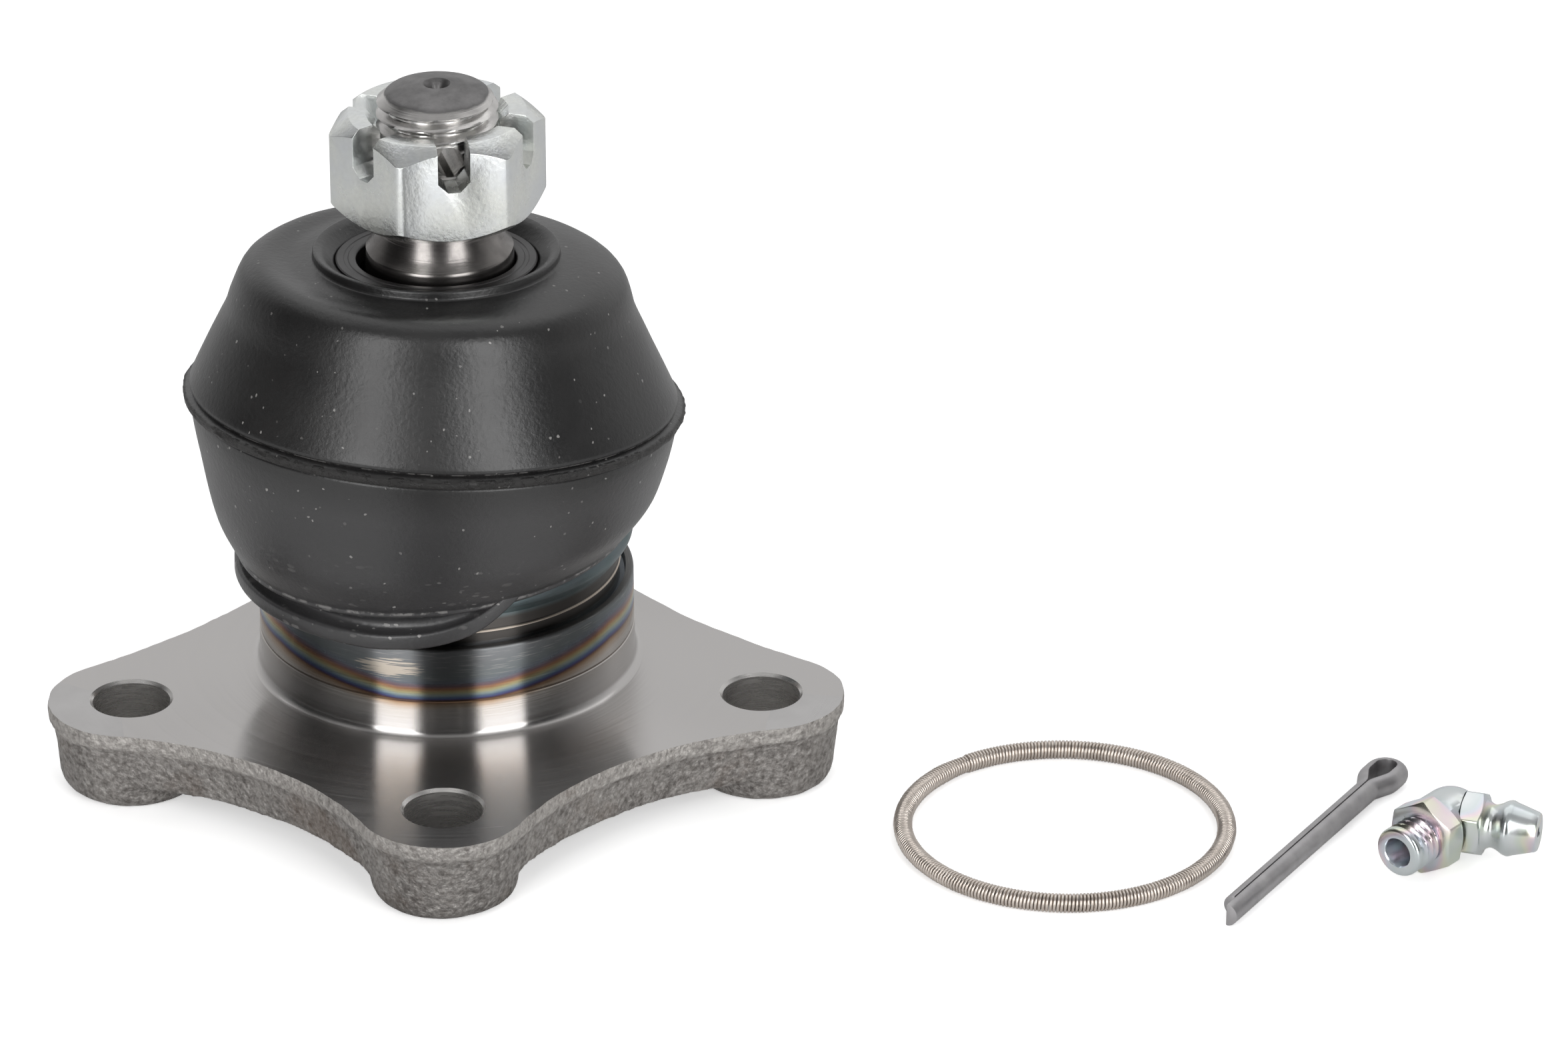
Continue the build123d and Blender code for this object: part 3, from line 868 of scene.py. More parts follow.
def puffed(x, y, z):
    """How far the air inside has pushed up the crown, most of all on the left"""
    shoulder = smooth_step((math.hypot(x, y) - shoulder_from) / 4.5) * (1.0 - 0.03 * x)
    return smooth_step((z - crown_from) / 3.5) * (rim_raised + shoulder)


def lean_over(bm):
    """Pushes every vertex of a straight boot part to its crooked place"""
    for vert in bm.verts:
        x, y, z = vert.co / mm
        vert.co = (lean_at(z) @ Vector((x, y, 0)) + Vector((0, 0, puffed(x, y, z)))) * mm


def mark_heights(bm):
    """Keeps each vertex's straight height, so that a finish can follow the moulding"""
    layer = bm.verts.layers.float.new("moulded_height")
    for vert in bm.verts:
        vert[layer] = vert.co.z / mm


def ragged_flash(bm):
    """Tears the thin flash at the ridge a little, as where the mould halves met"""
    for vert in bm.verts:
        near = max(0.0, 1 - abs(vert.co.z / mm - ridge_height) / 0.6)
        if near and math.hypot(vert.co.x, vert.co.y) > 28.5 * mm:
            torn = noise.noise(vert.co * 260) * 0.3 + noise.noise(vert.co * 1300) * 0.2
            vert.co.xy *= 1 + torn * near / 29


def smooth_line(points, count):
    """Points of a smooth curve through the given ones"""
    ends = [points[0], *points, points[-1]]
    made = []
    for a, b, c, d in zip(ends, ends[1:], ends[2:], ends[3:]):
        for step in range(count):
            t = step / count
            weights = (
                -0.5 * t + t * t - 0.5 * t**3,
                1 - 2.5 * t * t + 1.5 * t**3,
                0.5 * t + 2 * t * t - 1.5 * t**3,
                -0.5 * t * t + 0.5 * t**3,
            )
            made.append(
                tuple(sum(w * p[axis] for w, p in zip(weights, (a, b, c, d))) for axis in (0, 1))
            )
    return made + [points[-1]]


print("The crown is puffed up by", round(puffed(-20, 0, 48), 1), "mm on the left")

# %% [markdown]
# ## Upper shell of the boot
# The mould of the boot parts at its widest ring, which leaves a thin, torn flash there. The
# crown above it is a smooth curve through a few measured points, and ends in a rim with a
# pocket for the ring. One closed profile of outside, rim, inside and flash is spun once.

# %% Upper shell, from the widest ring to the rim that holds the black ring
upper_outside = smooth_line(
    [
        (28.15, 33.85),
        (28.22, 34.25),
        (27.9, 35.2),
        (25.75, 39.9),
        (23.4, 44.7),
        (21.2, 47.6),
        (17.8, 49.3),
        (14.9, 49.78),
    ],
    6,
)
rim_outside = [
    *arc((14.55, 50.15), 0.32, 270, 180, 3),
    *arc((13.95, 50.65), 0.28, 0, 110, 4),
    (13.35, 50.75),
    (12.95, 50.4),
    (11.95, 49.55),
    (11.68, 49.3),
    (11.68, 47.42),
    (10.2, 47.38),
    (10.2, 46.5),
]
upper_inside = smooth_line(
    [
        (10.2, 46.4),
        (14.5, 47.1),
        (18.9, 46.7),
        (21.7, 43.8),
        (23.9, 39.4),
        (26.1, 35.0),
        (27.0, ridge_height),
    ],
    4,
)
flash_upper = [
    (29.05, ridge_height),
    (29.08, 33.28),
    (28.8, 33.46),
    (28.25, 33.6),
    (28.02, 33.7),
    (28.06, 33.82),
    (28.15, 33.85),
]
bm = lathe(upper_outside + rim_outside + upper_inside + flash_upper, 320)
ragged_flash(bm)
mark_heights(bm)
lean_over(bm)
boot_upper = as_object("boot_upper", bm)
print("Upper shell:", len(boot_upper.data.polygons), "faces")

# %% [markdown]
# ## Lower shell and its lip
# The skirt narrows down to a lip that belongs in the collar's groove. On the real part it sits
# there in front and on the left, and has ridden up on the right. So the lip keeps level where it
# sits, climbs by a table of angles where it has slipped, and is held outside the land.

# %% Profile of the lower shell and its lip
lip_r, lip_top = 22.06, 17.4
lower_outside = smooth_line(
    [
        (28.15, 32.0),
        (28.14, 31.6),
        (28.0, 30.4),
        (27.3, 27.0),
        (25.9, 21.4),
        (24.3, 18.4),
        (23.35, 17.15),
    ],
    6,
)
lip_profile = [
    *arc((22.95, 16.95), 0.42, 20, -110, 6),
    (22.55, 16.1),
    (22.3, 15.5),
    (22.25, 14.8),
    (22.35, 14.2),
    (22.6, 13.75),
    *arc((23.5, 13.2), 0.45, 100, 8, 4),
    *arc((23.55, 12.1), 0.42, -8, -90, 4),
    (22.5, 11.65),
    (22.1, 11.9),
    (lip_r, 12.6),
    *rows((lip_r, 13.2), (lip_r, lip_top), 0.7),
]
lower_inside = smooth_line(
    [(22.1, 17.8), (24.2, 21.7), (25.6, 27.2), (26.6, 31.0), (27.0, ridge_height)], 5
)
flash_lower = [
    (29.05, ridge_height),
    (29.0, 32.62),
    (28.75, 32.42),
    (28.3, 32.3),
    (28.05, 32.15),
    (28.15, 32.0),
]
lower_profile = lower_outside + lip_profile + lower_inside + flash_lower
print("The lower shell's profile has", len(lower_profile), "points")

# %% [markdown]
# Angles go round the collar, with 0 on the right-hand side. The table says how far the lip has
# climbed there, and a point that would then be inside the collar's rounded land is moved out
# to its surface.

# %% Let the lip slip out of its groove
skirt_foot = leans[0].height
climb_to_tuck = 7.3
land_height, land_centre_r, land_round = 16.75, 20.35, 1.62
climbs = [
    (-180, 0.0),
    (-108, 0.0),
    (-92, 0.7),
    (-80, 2.1),
    (-73, 3.9),
    (-67, 5.8),
    (-62, 7.3),
    (-52, 8.4),
    (76, 8.4),
    (96, 4.0),
    (116, 0.0),
    (180, 0.0),
]


def climb_at(angle):
    """Climb of the lip at an angle, averaged over a few degrees between the measured ones"""
    total = 0.0
    for offset in (-4, -2, 0, 2, 4):
        near = min(180, max(-180, angle + offset))
        (before, low), (after, high) = next(
            pair for pair in zip(climbs, climbs[1:]) if near <= pair[1][0]
        )
        total += low + (high - low) * (near - before) / (after - before)
    return total / 5


def seat_lip(bm):
    """Keeps the lip level where it still sits, and tucks it under the skirt where it slipped"""
    for vert in bm.verts:
        x, y, z = vert.co / mm
        leaned = lean_at(max(z, skirt_foot)) @ Vector((x, y, min(0.0, z - skirt_foot)))
        if z < lip_top:
            radius, angle = math.hypot(x, y), math.degrees(math.atan2(y, x))
            climb = climb_at(angle)
            low = smooth_step((16.6 - z) / 2.6)
            tucked = min(1.0, climb / climb_to_tuck)
            swell = 1 + 0.22 * smooth_step((abs(angle) - 120) / 50) * (z < 14)
            wanted = lip_r + (radius - lip_r) * (swell - 0.55 * tucked)
            level = Vector((x * wanted / radius - 0.3, y * wanted / radius, z + climb))
            leaned = leaned.lerp(level, low)
        across = math.hypot(leaned.x, leaned.y)
        over_land = land_round**2 - (leaned.z - land_height) ** 2
        least = land_centre_r + math.sqrt(over_land) if over_land > 0 else 0
        if across < least:
            leaned.xy *= least / across
        vert.co = leaned * mm


bm = lathe(lower_profile, 320)
ragged_flash(bm)
mark_heights(bm)
seat_lip(bm)
boot_lower = as_object("boot_lower", bm)
print("Lower shell:", len(boot_lower.data.polygons), "faces")

# %% [markdown]
# ## Ring in the boot's mouth
# A stiff black ring keeps the mouth round and lets the stud turn in it. It is lathed at the
# origin and then placed on the tilted plane of the rim.

# %% Black ring let into the boot's top
ring_profile = [
    (9.2, -0.35),
    *arc((9.5, -0.3), 0.3, 180, 90, 3),
    (10.1, 0.0),
    (10.2, -0.08),
    (10.6, -0.08),
    (10.7, 0.0),
    (11.45, 0.0),
    (11.6, -0.12),
    (11.6, -2.1),
    (11.5, -2.2),
    (9.4, -2.2),
    (9.2, -2.0),
    (9.2, -0.35),
]
rim_plane = lean_at(50.9)
drop = Matrix.Translation((0, 0, rim_raised - 1.2))
place = rim_plane @ drop
place.translation = place.translation * mm
top_ring = as_object("top_ring", lathe(ring_profile, 128, place))
print("Ring:", len(top_ring.data.polygons), "faces")

# %% [markdown]
# ## Garter spring
# A garter spring is a long, close-coiled spring joined end to end. Its wire is one curve: a
# small circle carried round a large one, about three hundred turns of it. Where the two ends
# meet, the thinner end is screwed into the other, so the coils are narrower for a short way.

# %% Wind the garter spring
garter_centre = Vector((71.2, -27.85, -9.18))
garter_r = 18.65
coil_r = 0.92
coils = 286
steps_per_coil = 12
joint_angle = math.radians(125)
joint_narrowing, joint_share = 0.11, 0.036


def garter_point(step):
    """Where the wire is after so many twelfths of a coil, counted from the joint"""
    part = step / (coils * steps_per_coil)
    around = joint_angle + part * math.tau
    turn = step / steps_per_coil * math.tau
    narrow = joint_narrowing * smooth_step((joint_share - part) / 0.03)
    wobble = 0.012 * math.sin(around * 37) + 0.008 * math.sin(around * 91 + 1)
    reach = garter_r + (coil_r - narrow + wobble) * math.cos(turn)
    lift = (coil_r - narrow) * math.sin(turn)
    return garter_centre + Vector((reach * math.cos(around), reach * math.sin(around), lift))


def wound_wire(name, points, radius, sides=1, closed=True):
    """A round wire through the points, as a mesh"""
    curve = bpy.data.curves.new(name, "CURVE")
    curve.dimensions = "3D"
    curve.bevel_depth = radius * mm
    curve.bevel_resolution = sides
    curve.use_fill_caps = not closed
    spline = curve.splines.new("POLY")
    spline.points.add(len(points) - 1)
    for knot, point in zip(spline.points, points):
        knot.co = (*(point * mm), 1)
    spline.use_cyclic_u = closed
    made = bpy.data.objects.new(name, curve)
    bpy.context.scene.collection.objects.link(made)
    graph = bpy.context.evaluated_depsgraph_get()
    mesh = bpy.data.meshes.new_from_object(made.evaluated_get(graph), depsgraph=graph)
    bpy.data.objects.remove(made)
    final = bpy.data.objects.new(name, mesh)
    bpy.context.scene.collection.objects.link(final)
    return final


garter = wound_wire(
    "garter_coil", [garter_point(step) for step in range(coils * steps_per_coil)], 0.2
)
print("Garter spring:", len(garter.data.polygons), "faces")

# %% [markdown]
# ## Split pin
# A split pin is half-round wire folded back on itself round an open eye, flat sides together.
# We carry one half-round section along a path of straight runs and arcs. The section's round
# side is always on the outside of the fold, so both legs together make a nearly round pin.

# %% Path of the fold
def rounded_path(corners, radii, steps=8):
    """Points along a flat polyline whose corners are rounded by the given radii"""
    made = [corners[0]]
    for before, corner, after, radius in zip(corners, corners[1:], corners[2:], radii):
        back, on = (before - corner).normalized(), (after - corner).normalized()
        half = back.angle(on) / 2
        centre = corner + (back + on).normalized() * radius / math.sin(half)
        first = corner + back * radius / math.tan(half) - centre
        last = corner + on * radius / math.tan(half) - centre
        made += [centre + first.slerp(last, step / steps) * radius for step in range(steps + 1)]
    return made + [corners[-1]]


half_gap, half_width = 0.06, 1.25
eye_start, eye_wide, eye_end = 35.0, 37.6, 40.7
fold = rounded_path(
    [
        Vector((0, -half_gap)),
        Vector((eye_start, -half_gap)),
        Vector((eye_wide, -half_width)),
        Vector((eye_end, -half_width)),
        Vector((eye_end, half_width)),
        Vector((eye_wide, half_width)),
        Vector((eye_start, half_gap)),
        Vector((2.2, half_gap)),
    ],
    [2.5, 2.0, 1.2, 1.2, 2.0, 2.5],
)
print("The fold has", len(fold), "points")

# %% [markdown]
# ## Sweep along the fold
# The sweep is a row of bridges: a copy of the half-round section stands across the path at every
# point, and each is bridged to the next one. A curve with a bevel object would twist where the
# path folds back, and would round the flat side.

# %% Carry the half-round section along it
def carry_section(path, section, place):
    """Bridges copies of a flat section that stand across the path, and closes the ends"""
    bm = bmesh.new()
    rings = []
    for index, point in enumerate(path):
        before, after = path[max(0, index - 1)], path[min(len(path) - 1, index + 1)]
        along = (after - before).normalized()
        outward = Vector((along.y, -along.x))
        loop = [
            bm.verts.new((point.x + outward.x * out, point.y + outward.y * out, up))
            for out, up in section
        ]
        rings.append([bm.edges.new(pair) for pair in zip(loop, loop[1:] + loop[:1])])
    for ring, following in zip(rings, rings[1:]):
        bmesh.ops.bridge_loops(bm, edges=ring + following)
    for ring in (rings[0], rings[-1]):
        bmesh.ops.contextual_create(bm, geom=ring)
    bmesh.ops.recalc_face_normals(bm, faces=bm.faces)
    bm.transform(Matrix.Scale(mm, 4))
    bm.transform(place)
    return bm


wire_r, wire_corner = 1.35, 0.12
half_round = [
    *arc((wire_corner, wire_r - wire_corner), wire_corner, 180, 100, 2),
    *arc((0, 0), wire_r, 82, -82, 16),
    *arc((wire_corner, wire_corner - wire_r), wire_corner, -100, -180, 2),
]
spaced = [fold[0].lerp(fold[1], step / 14) for step in range(14)] + fold[1:-1]
spaced += [fold[-2].lerp(fold[-1], step / 14) for step in range(15)]
pin_foot, pin_heading = Vector((88.2, -50.0, ground + wire_r)), 57.8
pin_place = Matrix.Translation(pin_foot * mm) @ Matrix.Rotation(
    math.radians(pin_heading), 4, "Z"
)
split_pin = as_object("folded_pin", carry_section(spaced, half_round, pin_place))
soften_edges(split_pin, 0.12, 50, 2)
print("Split pin:", len(split_pin.data.polygons), "faces")

# %% [markdown]
# ## Grease nipple
# The fitting has two halves that meet at the elbow. Each is turned round its own axis, with a
# hexagon for the spanner. We build every half standing on Z, lay it down along its heading, and
# join the solids. The pipe thread of the stub is cut with the helper that made the stud's.

# %% Elbow, hexagon and threaded stub
elbow = Vector((115.0, -34.1, ground + 4.0 * 2 / math.sqrt(3)))


def laid_along(heading):
    """Places a part that was built on Z with its axis along a heading, a hexagon corner down"""
    turn = math.radians(heading)
    forward = Vector((math.cos(turn), math.sin(turn), 0))
    down = Vector((0, 0, -1))
    basis = Matrix((down, forward.cross(down), forward)).transposed()
    return Matrix.Translation(elbow * mm) @ basis.to_4x4()


def chamfered_hexagon(name, flats, bottom, top, low_face, high_face, place):
    """Hexagon whose corners were turned off at 30 degrees at both ends"""
    corner = flats / math.sqrt(3) + 0.05
    slope = math.tan(math.radians(30))
    disc = [(0, bottom), (low_face, bottom), (corner, bottom + (corner - low_face) * slope)]
    disc += [(corner, top - (corner - high_face) * slope), (high_face, top), (0, top)]
    made = as_object(name, hexagon(flats, bottom, top, turn=0, rounding=0.22))
    combine(made, [as_object("disc", lathe(disc, 96))], "INTERSECT")
    made.data.transform(place)
    return made


stub_heading, head_heading = 229, -18.5
stub_r, stub_pitch = 2.95, 1.0
stub_place, head_place = laid_along(stub_heading), laid_along(head_heading)
stub_profile = [
    (0, 5.0),
    (2.6, 5.0),
    (2.6, 6.2),
    *rows((stub_r, 6.4), (stub_r, 9.9), 0.1),
    *arc((2.45, 9.9), 0.5, 0, 80, 5),
    (1.95, 10.4),
    (1.65, 10.2),
    (1.65, 5.0),
]
rounded_end = [*arc((0, 0), 3.9, -90, 0, 20), *rows((3.9, 0), (3.9, 3.6), 1.2)[1:], (0, 3.6)]
elbow_body = as_object("elbow_body", lathe(rounded_end, 96, stub_place))
spanner_part = chamfered_hexagon("spanner_part", 8.0, 3.2, 6.0, 3.7, 3.9, stub_place)
bm = lathe(stub_profile[:-2] + [(0, 10.4)], 96)
cut_thread(bm, stub_r, stub_pitch, bottom=6.1, top=9.6, start=0.2)
bm.transform(stub_place)
combine(elbow_body, [spanner_part, as_object("stub", bm)], "UNION")
stub_bore = lathe([(0, 0), (1.65, 0), (1.65, 10.15), (1.95, 10.6), (0, 10.6)], 64, stub_place)
spot_face = lathe([(0, 1.5), (4.25, 1.5), (4.25, 6), (0, 6)], 96, head_place)
grease_way = lathe([(0, 0), (0.8, 0), (0.8, 3), (0, 3)], 32, head_place)
cutters = {"stub_bore": stub_bore, "spot_face": spot_face, "grease_way": grease_way}
combine(elbow_body, [as_object(name, cutter) for name, cutter in cutters.items()])
elbow_body.name = "nipple_body"
soften_edges(elbow_body, 0.1, 35, 2)
print("Nipple body:", len(elbow_body.data.polygons), "faces")

# %% [markdown]
# ## Coupling head of the nipple
# The head has the waist that a grease gun clips onto, a cone towards the mouth, and a thin
# hexagon. It is turned as one profile, joined to its hexagon, and bored through.

# %% Coupling head with its thin hexagon
head_profile = [
    (0, 3.4),
    (3.1, 3.4),
    (3.1, 4.1),
    *smooth_line([(3.1, 4.1), (2.72, 4.5), (2.5, 5.05), (2.72, 5.75), (3.1, 6.4), (3.25, 6.9)], 4),
    (3.24, 7.1),
    (3.15, 7.35),
    *rows((3.05, 7.6), (2.33, 10.1), 0.8),
    (2.2, 10.3),
    (0.75, 10.3),
    (0.65, 10.2),
    (0.65, 9.3),
    (0, 9.3),
]
nipple_top = chamfered_hexagon("nipple_top", 7.0, 1.5, 4.1, 3.4, 3.35, head_place)
combine(nipple_top, [as_object("head", lathe(head_profile, 96, head_place))], "UNION")
way = [(0, 1.4), (1.15, 1.4), (1.15, 9.3), (0.65, 9.3), (0.65, 9.4), (0, 9.4)]
combine(nipple_top, [as_object("way", lathe(way, 48, head_place))])
soften_edges(nipple_top, 0.1, 35, 2)
print("Coupling head:", len(nipple_top.data.polygons), "faces")

# %% [markdown]
# ## Spring behind the check ball
# A ball closes the nipple's mouth, and a small coil spring holds it there. Nobody sees it, but
# when the grease gun presses the ball in, the coil has to shorten. It is wound with the helper
# of the garter spring.

# %% Wind the check spring
check_spring_foot, check_spring_end = 1.7, 7.3
check_turns, check_coil_r = 9, 0.88


def check_spring_point(step):
    """Where the wire is after so many sixteenths of a turn, on the head's axis"""
    part = step / (check_turns * 16)
    turn = step / 16 * math.tau
    rise = check_spring_foot + (check_spring_end - check_spring_foot) * part
    place = Vector((check_coil_r * math.cos(turn), check_coil_r * math.sin(turn), rise))
    return head_place @ (place * mm) / mm


check_spring = wound_wire(
    "check_coil",
    [check_spring_point(step) for step in range(check_turns * 16 + 1)],
    0.15,
    closed=False,
)
print("Check spring:", len(check_spring.data.polygons), "faces")

# %% [markdown]
# ## Steel finishes
# Three finishes meet on the flange. The forged skin is dull and mottled. The faced top and the
# collar were cut on a lathe, and their fine rings stretch every highlight across them, which an
# anisotropic shader gives when its tangent runs round the axis. The collar also carries the
# colours that welding heat leaves on bare steel; they change with the height alone.

# %% Forged skin
forged, tree, shader, place = new_material("forged_skin", 0.55, 0.6, Specular_IOR_Level=0.5)
clouds = use_group(tree, mottle, {"Vector": place, "Scale": 220.0, "Low": 0.36, "High": 0.64})
grains = use_group(tree, mottle, {"Vector": place, "Scale": 1500.0, "Low": 0.35, "High": 0.7})
height = add_node(tree, "ShaderNodeSeparateXYZ", {0: place}).outputs["Z"]
wave = add_node(tree, "ShaderNodeTexNoise", {"Vector": place, "Scale": 160.0}).outputs["Fac"]
edge_height = math_node(tree, "ADD", height, math_node(tree, "MULTIPLY", wave, 0.0012))
band = spread(tree, edge_height, -0.0016, -0.0013)
skin = mix_colour(tree, clouds["Mask"], (0.115, 0.104, 0.096), (0.215, 0.2, 0.187))
pale = math_node(tree, "MULTIPLY", grains["Mask"], 0.78)
skin = mix_colour(tree, pale, skin, (0.47, 0.45, 0.43))
stains = use_group(tree, mottle, {"Vector": place, "Scale": 75.0, "Low": 0.54, "High": 0.68})
stained = math_node(tree, "MULTIPLY", stains["Mask"], 0.45)
skin = mix_colour(tree, stained, skin, (0.17, 0.125, 0.095))
worn = math_node(tree, "MULTIPLY", band, spread(tree, grains["Mask"], 0, 1, 0.3, 0.8))
skin = mix_colour(tree, worn, skin, (0.52, 0.495, 0.47))
tree.links.new(skin, shader.inputs["Base Color"])
tree.links.new(spread(tree, grains["Mask"], 0, 1, 0.68, 0.45), shader.inputs["Roughness"])
pits = add_node(tree, "ShaderNodeTexNoise", {"Vector": place, "Scale": 1300.0, "Detail": 4.0})
bump(tree, shader, pits.outputs["Fac"], 0.0006, 1.0)
print("Material:", forged.name)

# %% Faced top and drilled holes
def radial_tangent(tree, shader):
    """Lets highlights stretch across the rings of a part turned round Z"""
    made = add_node(tree, "ShaderNodeTangent", direction_type="RADIAL", axis="Z")
    tree.links.new(made.outputs[0], shader.inputs["Tangent"])
    shader.inputs["Anisotropic Rotation"].default_value = 0.25


faced, tree, shader, place = new_material(
    "faced_steel", 1.0, 0.26, (0.5, 0.49, 0.485), Anisotropic=0.95
)
radial_tangent(tree, shader)
rings = use_group(tree, turning_marks, {"Vector": place, "Pitch": 0.00022, "Wander": 3.0})
clouds = use_group(tree, mottle, {"Vector": place, "Scale": 90.0, "Low": 0.3, "High": 0.7})
marks = use_group(
    tree, specks, {"Vector": place, "Scale": 330.0, "Size": 0.12, "Share": 0.25}
)
steel = mix_colour(tree, clouds["Mask"], (0.47, 0.46, 0.455), (0.55, 0.54, 0.535))
steel = mix_colour(tree, marks["Mask"], steel, (0.16, 0.13, 0.11))
tree.links.new(steel, shader.inputs["Base Color"])
tree.links.new(spread(tree, rings["Height"], 0.3, 0.7, 0.19, 0.28), shader.inputs["Roughness"])
bump(tree, shader, rings["Height"], 0.00002, 0.5)

# The hole walls have their own drilled finish, and their steel is painted lighter than the faced
# top's, standing in for light that reaches into the holes
drilled, tree, shader, place = new_material("drilled_steel_painted_lighter", 0.9, 0.22, (0.62, 0.605, 0.59))
scratch = add_node(
    tree,
    "ShaderNodeTexNoise",
    {
        "Vector": add_node(
            tree, "ShaderNodeMapping", {0: place, "Scale": (300, 300, 4000)}
        ).outputs[0],
        "Scale": 1.0,
    },
)
gloss = spread(tree, scratch.outputs["Fac"], 0.3, 0.7, 0.15, 0.38)
tree.links.new(gloss, shader.inputs["Roughness"])
bump(tree, shader, scratch.outputs["Fac"], 0.00004, 0.5)
print("Materials:", faced.name, drilled.name)

# %% [markdown]
# ## Heat colours
# The cover was welded or the collar hardened, and the heat left a film whose thickness, and so
# whose colour, falls with the distance from the heat. A colour ramp over the height gives the
# bands, and their height rises away from the front.

# %% Collar with its heat colours
collar, tree, shader, place = new_material("heat_tinted_steel", 1.0, 0.25, Anisotropic=1.0)
radial_tangent(tree, shader)
split = add_node(tree, "ShaderNodeSeparateXYZ", {0: place})
height = split.outputs["Z"]
forward = math_node(tree, "MULTIPLY", split.outputs["Y"], -1.0)
angle = math_node(tree, "ARCTAN2", split.outputs["X"], forward)
# The heat came from the front, so the colours lie lowest and closest together there
far = spread(tree, math_node(tree, "ABSOLUTE", angle), 0.25, 1.05)
soft = add_node(tree, "ShaderNodeTexNoise", {"Vector": place, "Scale": 70.0}).outputs["Fac"]
bands_low, bands_climb = 4.45, 2.3
edge = math_node(tree, "ADD", math_node(tree, "MULTIPLY", far, bands_climb * mm), bands_low * mm)
edge = math_node(tree, "ADD", edge, math_node(tree, "MULTIPLY", soft, 0.0005))
band = math_node(tree, "ADD", math_node(tree, "MULTIPLY", far, 0.0006), 0.002)
heat = math_node(tree, "DIVIDE", math_node(tree, "SUBTRACT", height, edge), band)
tint = ramp(
    tree,
    spread(tree, heat, -1.5, 2.5),
    [
        (0.0, (0.52, 0.505, 0.495)),
        (0.22, (0.51, 0.48, 0.45)),
        (0.3, (0.42, 0.33, 0.25)),
        (0.345, (0.28, 0.17, 0.1)),
        (0.37, (0.11, 0.07, 0.09)),
        (0.39, (0.09, 0.09, 0.22)),
        (0.42, (0.13, 0.19, 0.29)),
        (0.46, (0.3, 0.36, 0.34)),
        (0.5, (0.4, 0.37, 0.21)),
        (0.55, (0.33, 0.18, 0.1)),
        (0.6, (0.17, 0.12, 0.14)),
        (0.65, (0.14, 0.155, 0.18)),
        (0.74, (0.145, 0.16, 0.165)),
        (1.0, (0.15, 0.155, 0.16)),
    ],
)
# Painted shade: the small groove of the hair line is darkened where it lies in shade
hair_line_shade = math_node(
    tree, "MULTIPLY", spread(tree, height, 0.0045, 0.00456), spread(tree, height, 0.0048, 0.00474)
)
tint = mix_colour(tree, math_node(tree, "MULTIPLY", hair_line_shade, 0.7), tint, (0.1, 0.065, 0.045))
# Painted shade: from the collar's top up to the land the steel is darkened, where the groove and
# the neck lie in shade
painted_neck_shade = spread(tree, height, 0.0109, 0.0113)
tint = mix_colour(tree, painted_neck_shade, tint, (0.075, 0.07, 0.066))
# The land above the groove carries a duller, teal oxide
above = spread(tree, height, 0.0138, 0.0146)
clouds = use_group(tree, mottle, {"Vector": place, "Scale": 150.0, "Low": 0.35, "High": 0.65})
teal = mix_colour(tree, clouds["Mask"], (0.115, 0.16, 0.165), (0.165, 0.19, 0.205))
tint = mix_colour(tree, above, tint, teal)
print("The heat colours climb", bands_climb, "mm from the front to the sides")

# %% [markdown]
# Above the bands the steel is dark. Scratches run round it, and one patch is scraped bare down
# to the warm metal. Both use the same turning marks as the steel, so they follow the lathe.

# %% Scratches and the scraped patch on the collar
scratches = use_group(tree, turning_marks, {"Vector": place, "Pitch": 0.00016, "Wander": 16.0})
scratched = math_node(
    tree,
    "MULTIPLY",
    spread(tree, scratches["Height"], 0.56, 0.68),
    math_node(tree, "MULTIPLY", spread(tree, heat, 1.1, 1.6), spread(tree, height, 0.0114, 0.0108)),
)
tint = mix_colour(tree, math_node(tree, "MULTIPLY", scratched, 0.55), tint, (0.36, 0.35, 0.34))
across = math_node(tree, "DIVIDE", math_node(tree, "ADD", angle, 0.29), 0.19)
upward = math_node(tree, "DIVIDE", math_node(tree, "SUBTRACT", height, 0.0085), 0.0013)
reach = math_node(
    tree,
    "ADD",
    math_node(tree, "MULTIPLY", across, across),
    math_node(tree, "MULTIPLY", upward, upward),
)
reach = math_node(tree, "ADD", reach, spread(tree, scratches["Height"], 0.35, 0.65, 0.9, -0.5))
scraped = math_node(tree, "MULTIPLY", spread(tree, reach, 0.85, 0.7), 0.9)
tint = mix_colour(tree, scraped, tint, (0.46, 0.41, 0.35))
# The rib on the neck is painted pale: partly bare scraped steel, partly a painted highlight along
# its edge
rib = math_node(
    tree, "MULTIPLY", spread(tree, height, 0.0124, 0.01245), spread(tree, height, 0.0127, 0.01262)
)
tint = mix_colour(tree, rib, tint, (0.55, 0.48, 0.41))
tree.links.new(tint, shader.inputs["Base Color"])
rings = use_group(tree, turning_marks, {"Vector": place, "Pitch": 0.0002, "Wander": 1.5})
gloss = spread(tree, rings["Height"], 0.3, 0.7, 0.19, 0.25)
dulled = math_node(tree, "MULTIPLY", spread(tree, heat, 0.9, 1.3), 0.09)
tree.links.new(math_node(tree, "ADD", gloss, dulled), shader.inputs["Roughness"])
bump(tree, shader, rings["Height"], 0.00002, 0.5)
print("Material:", collar.name)

# %% [markdown]
# ## Finishes by place
# The cuts decide where each finish goes, so every face gets its material from where it lies:
# on the collar, in a hole, on a machined plane, or on the forged skin.

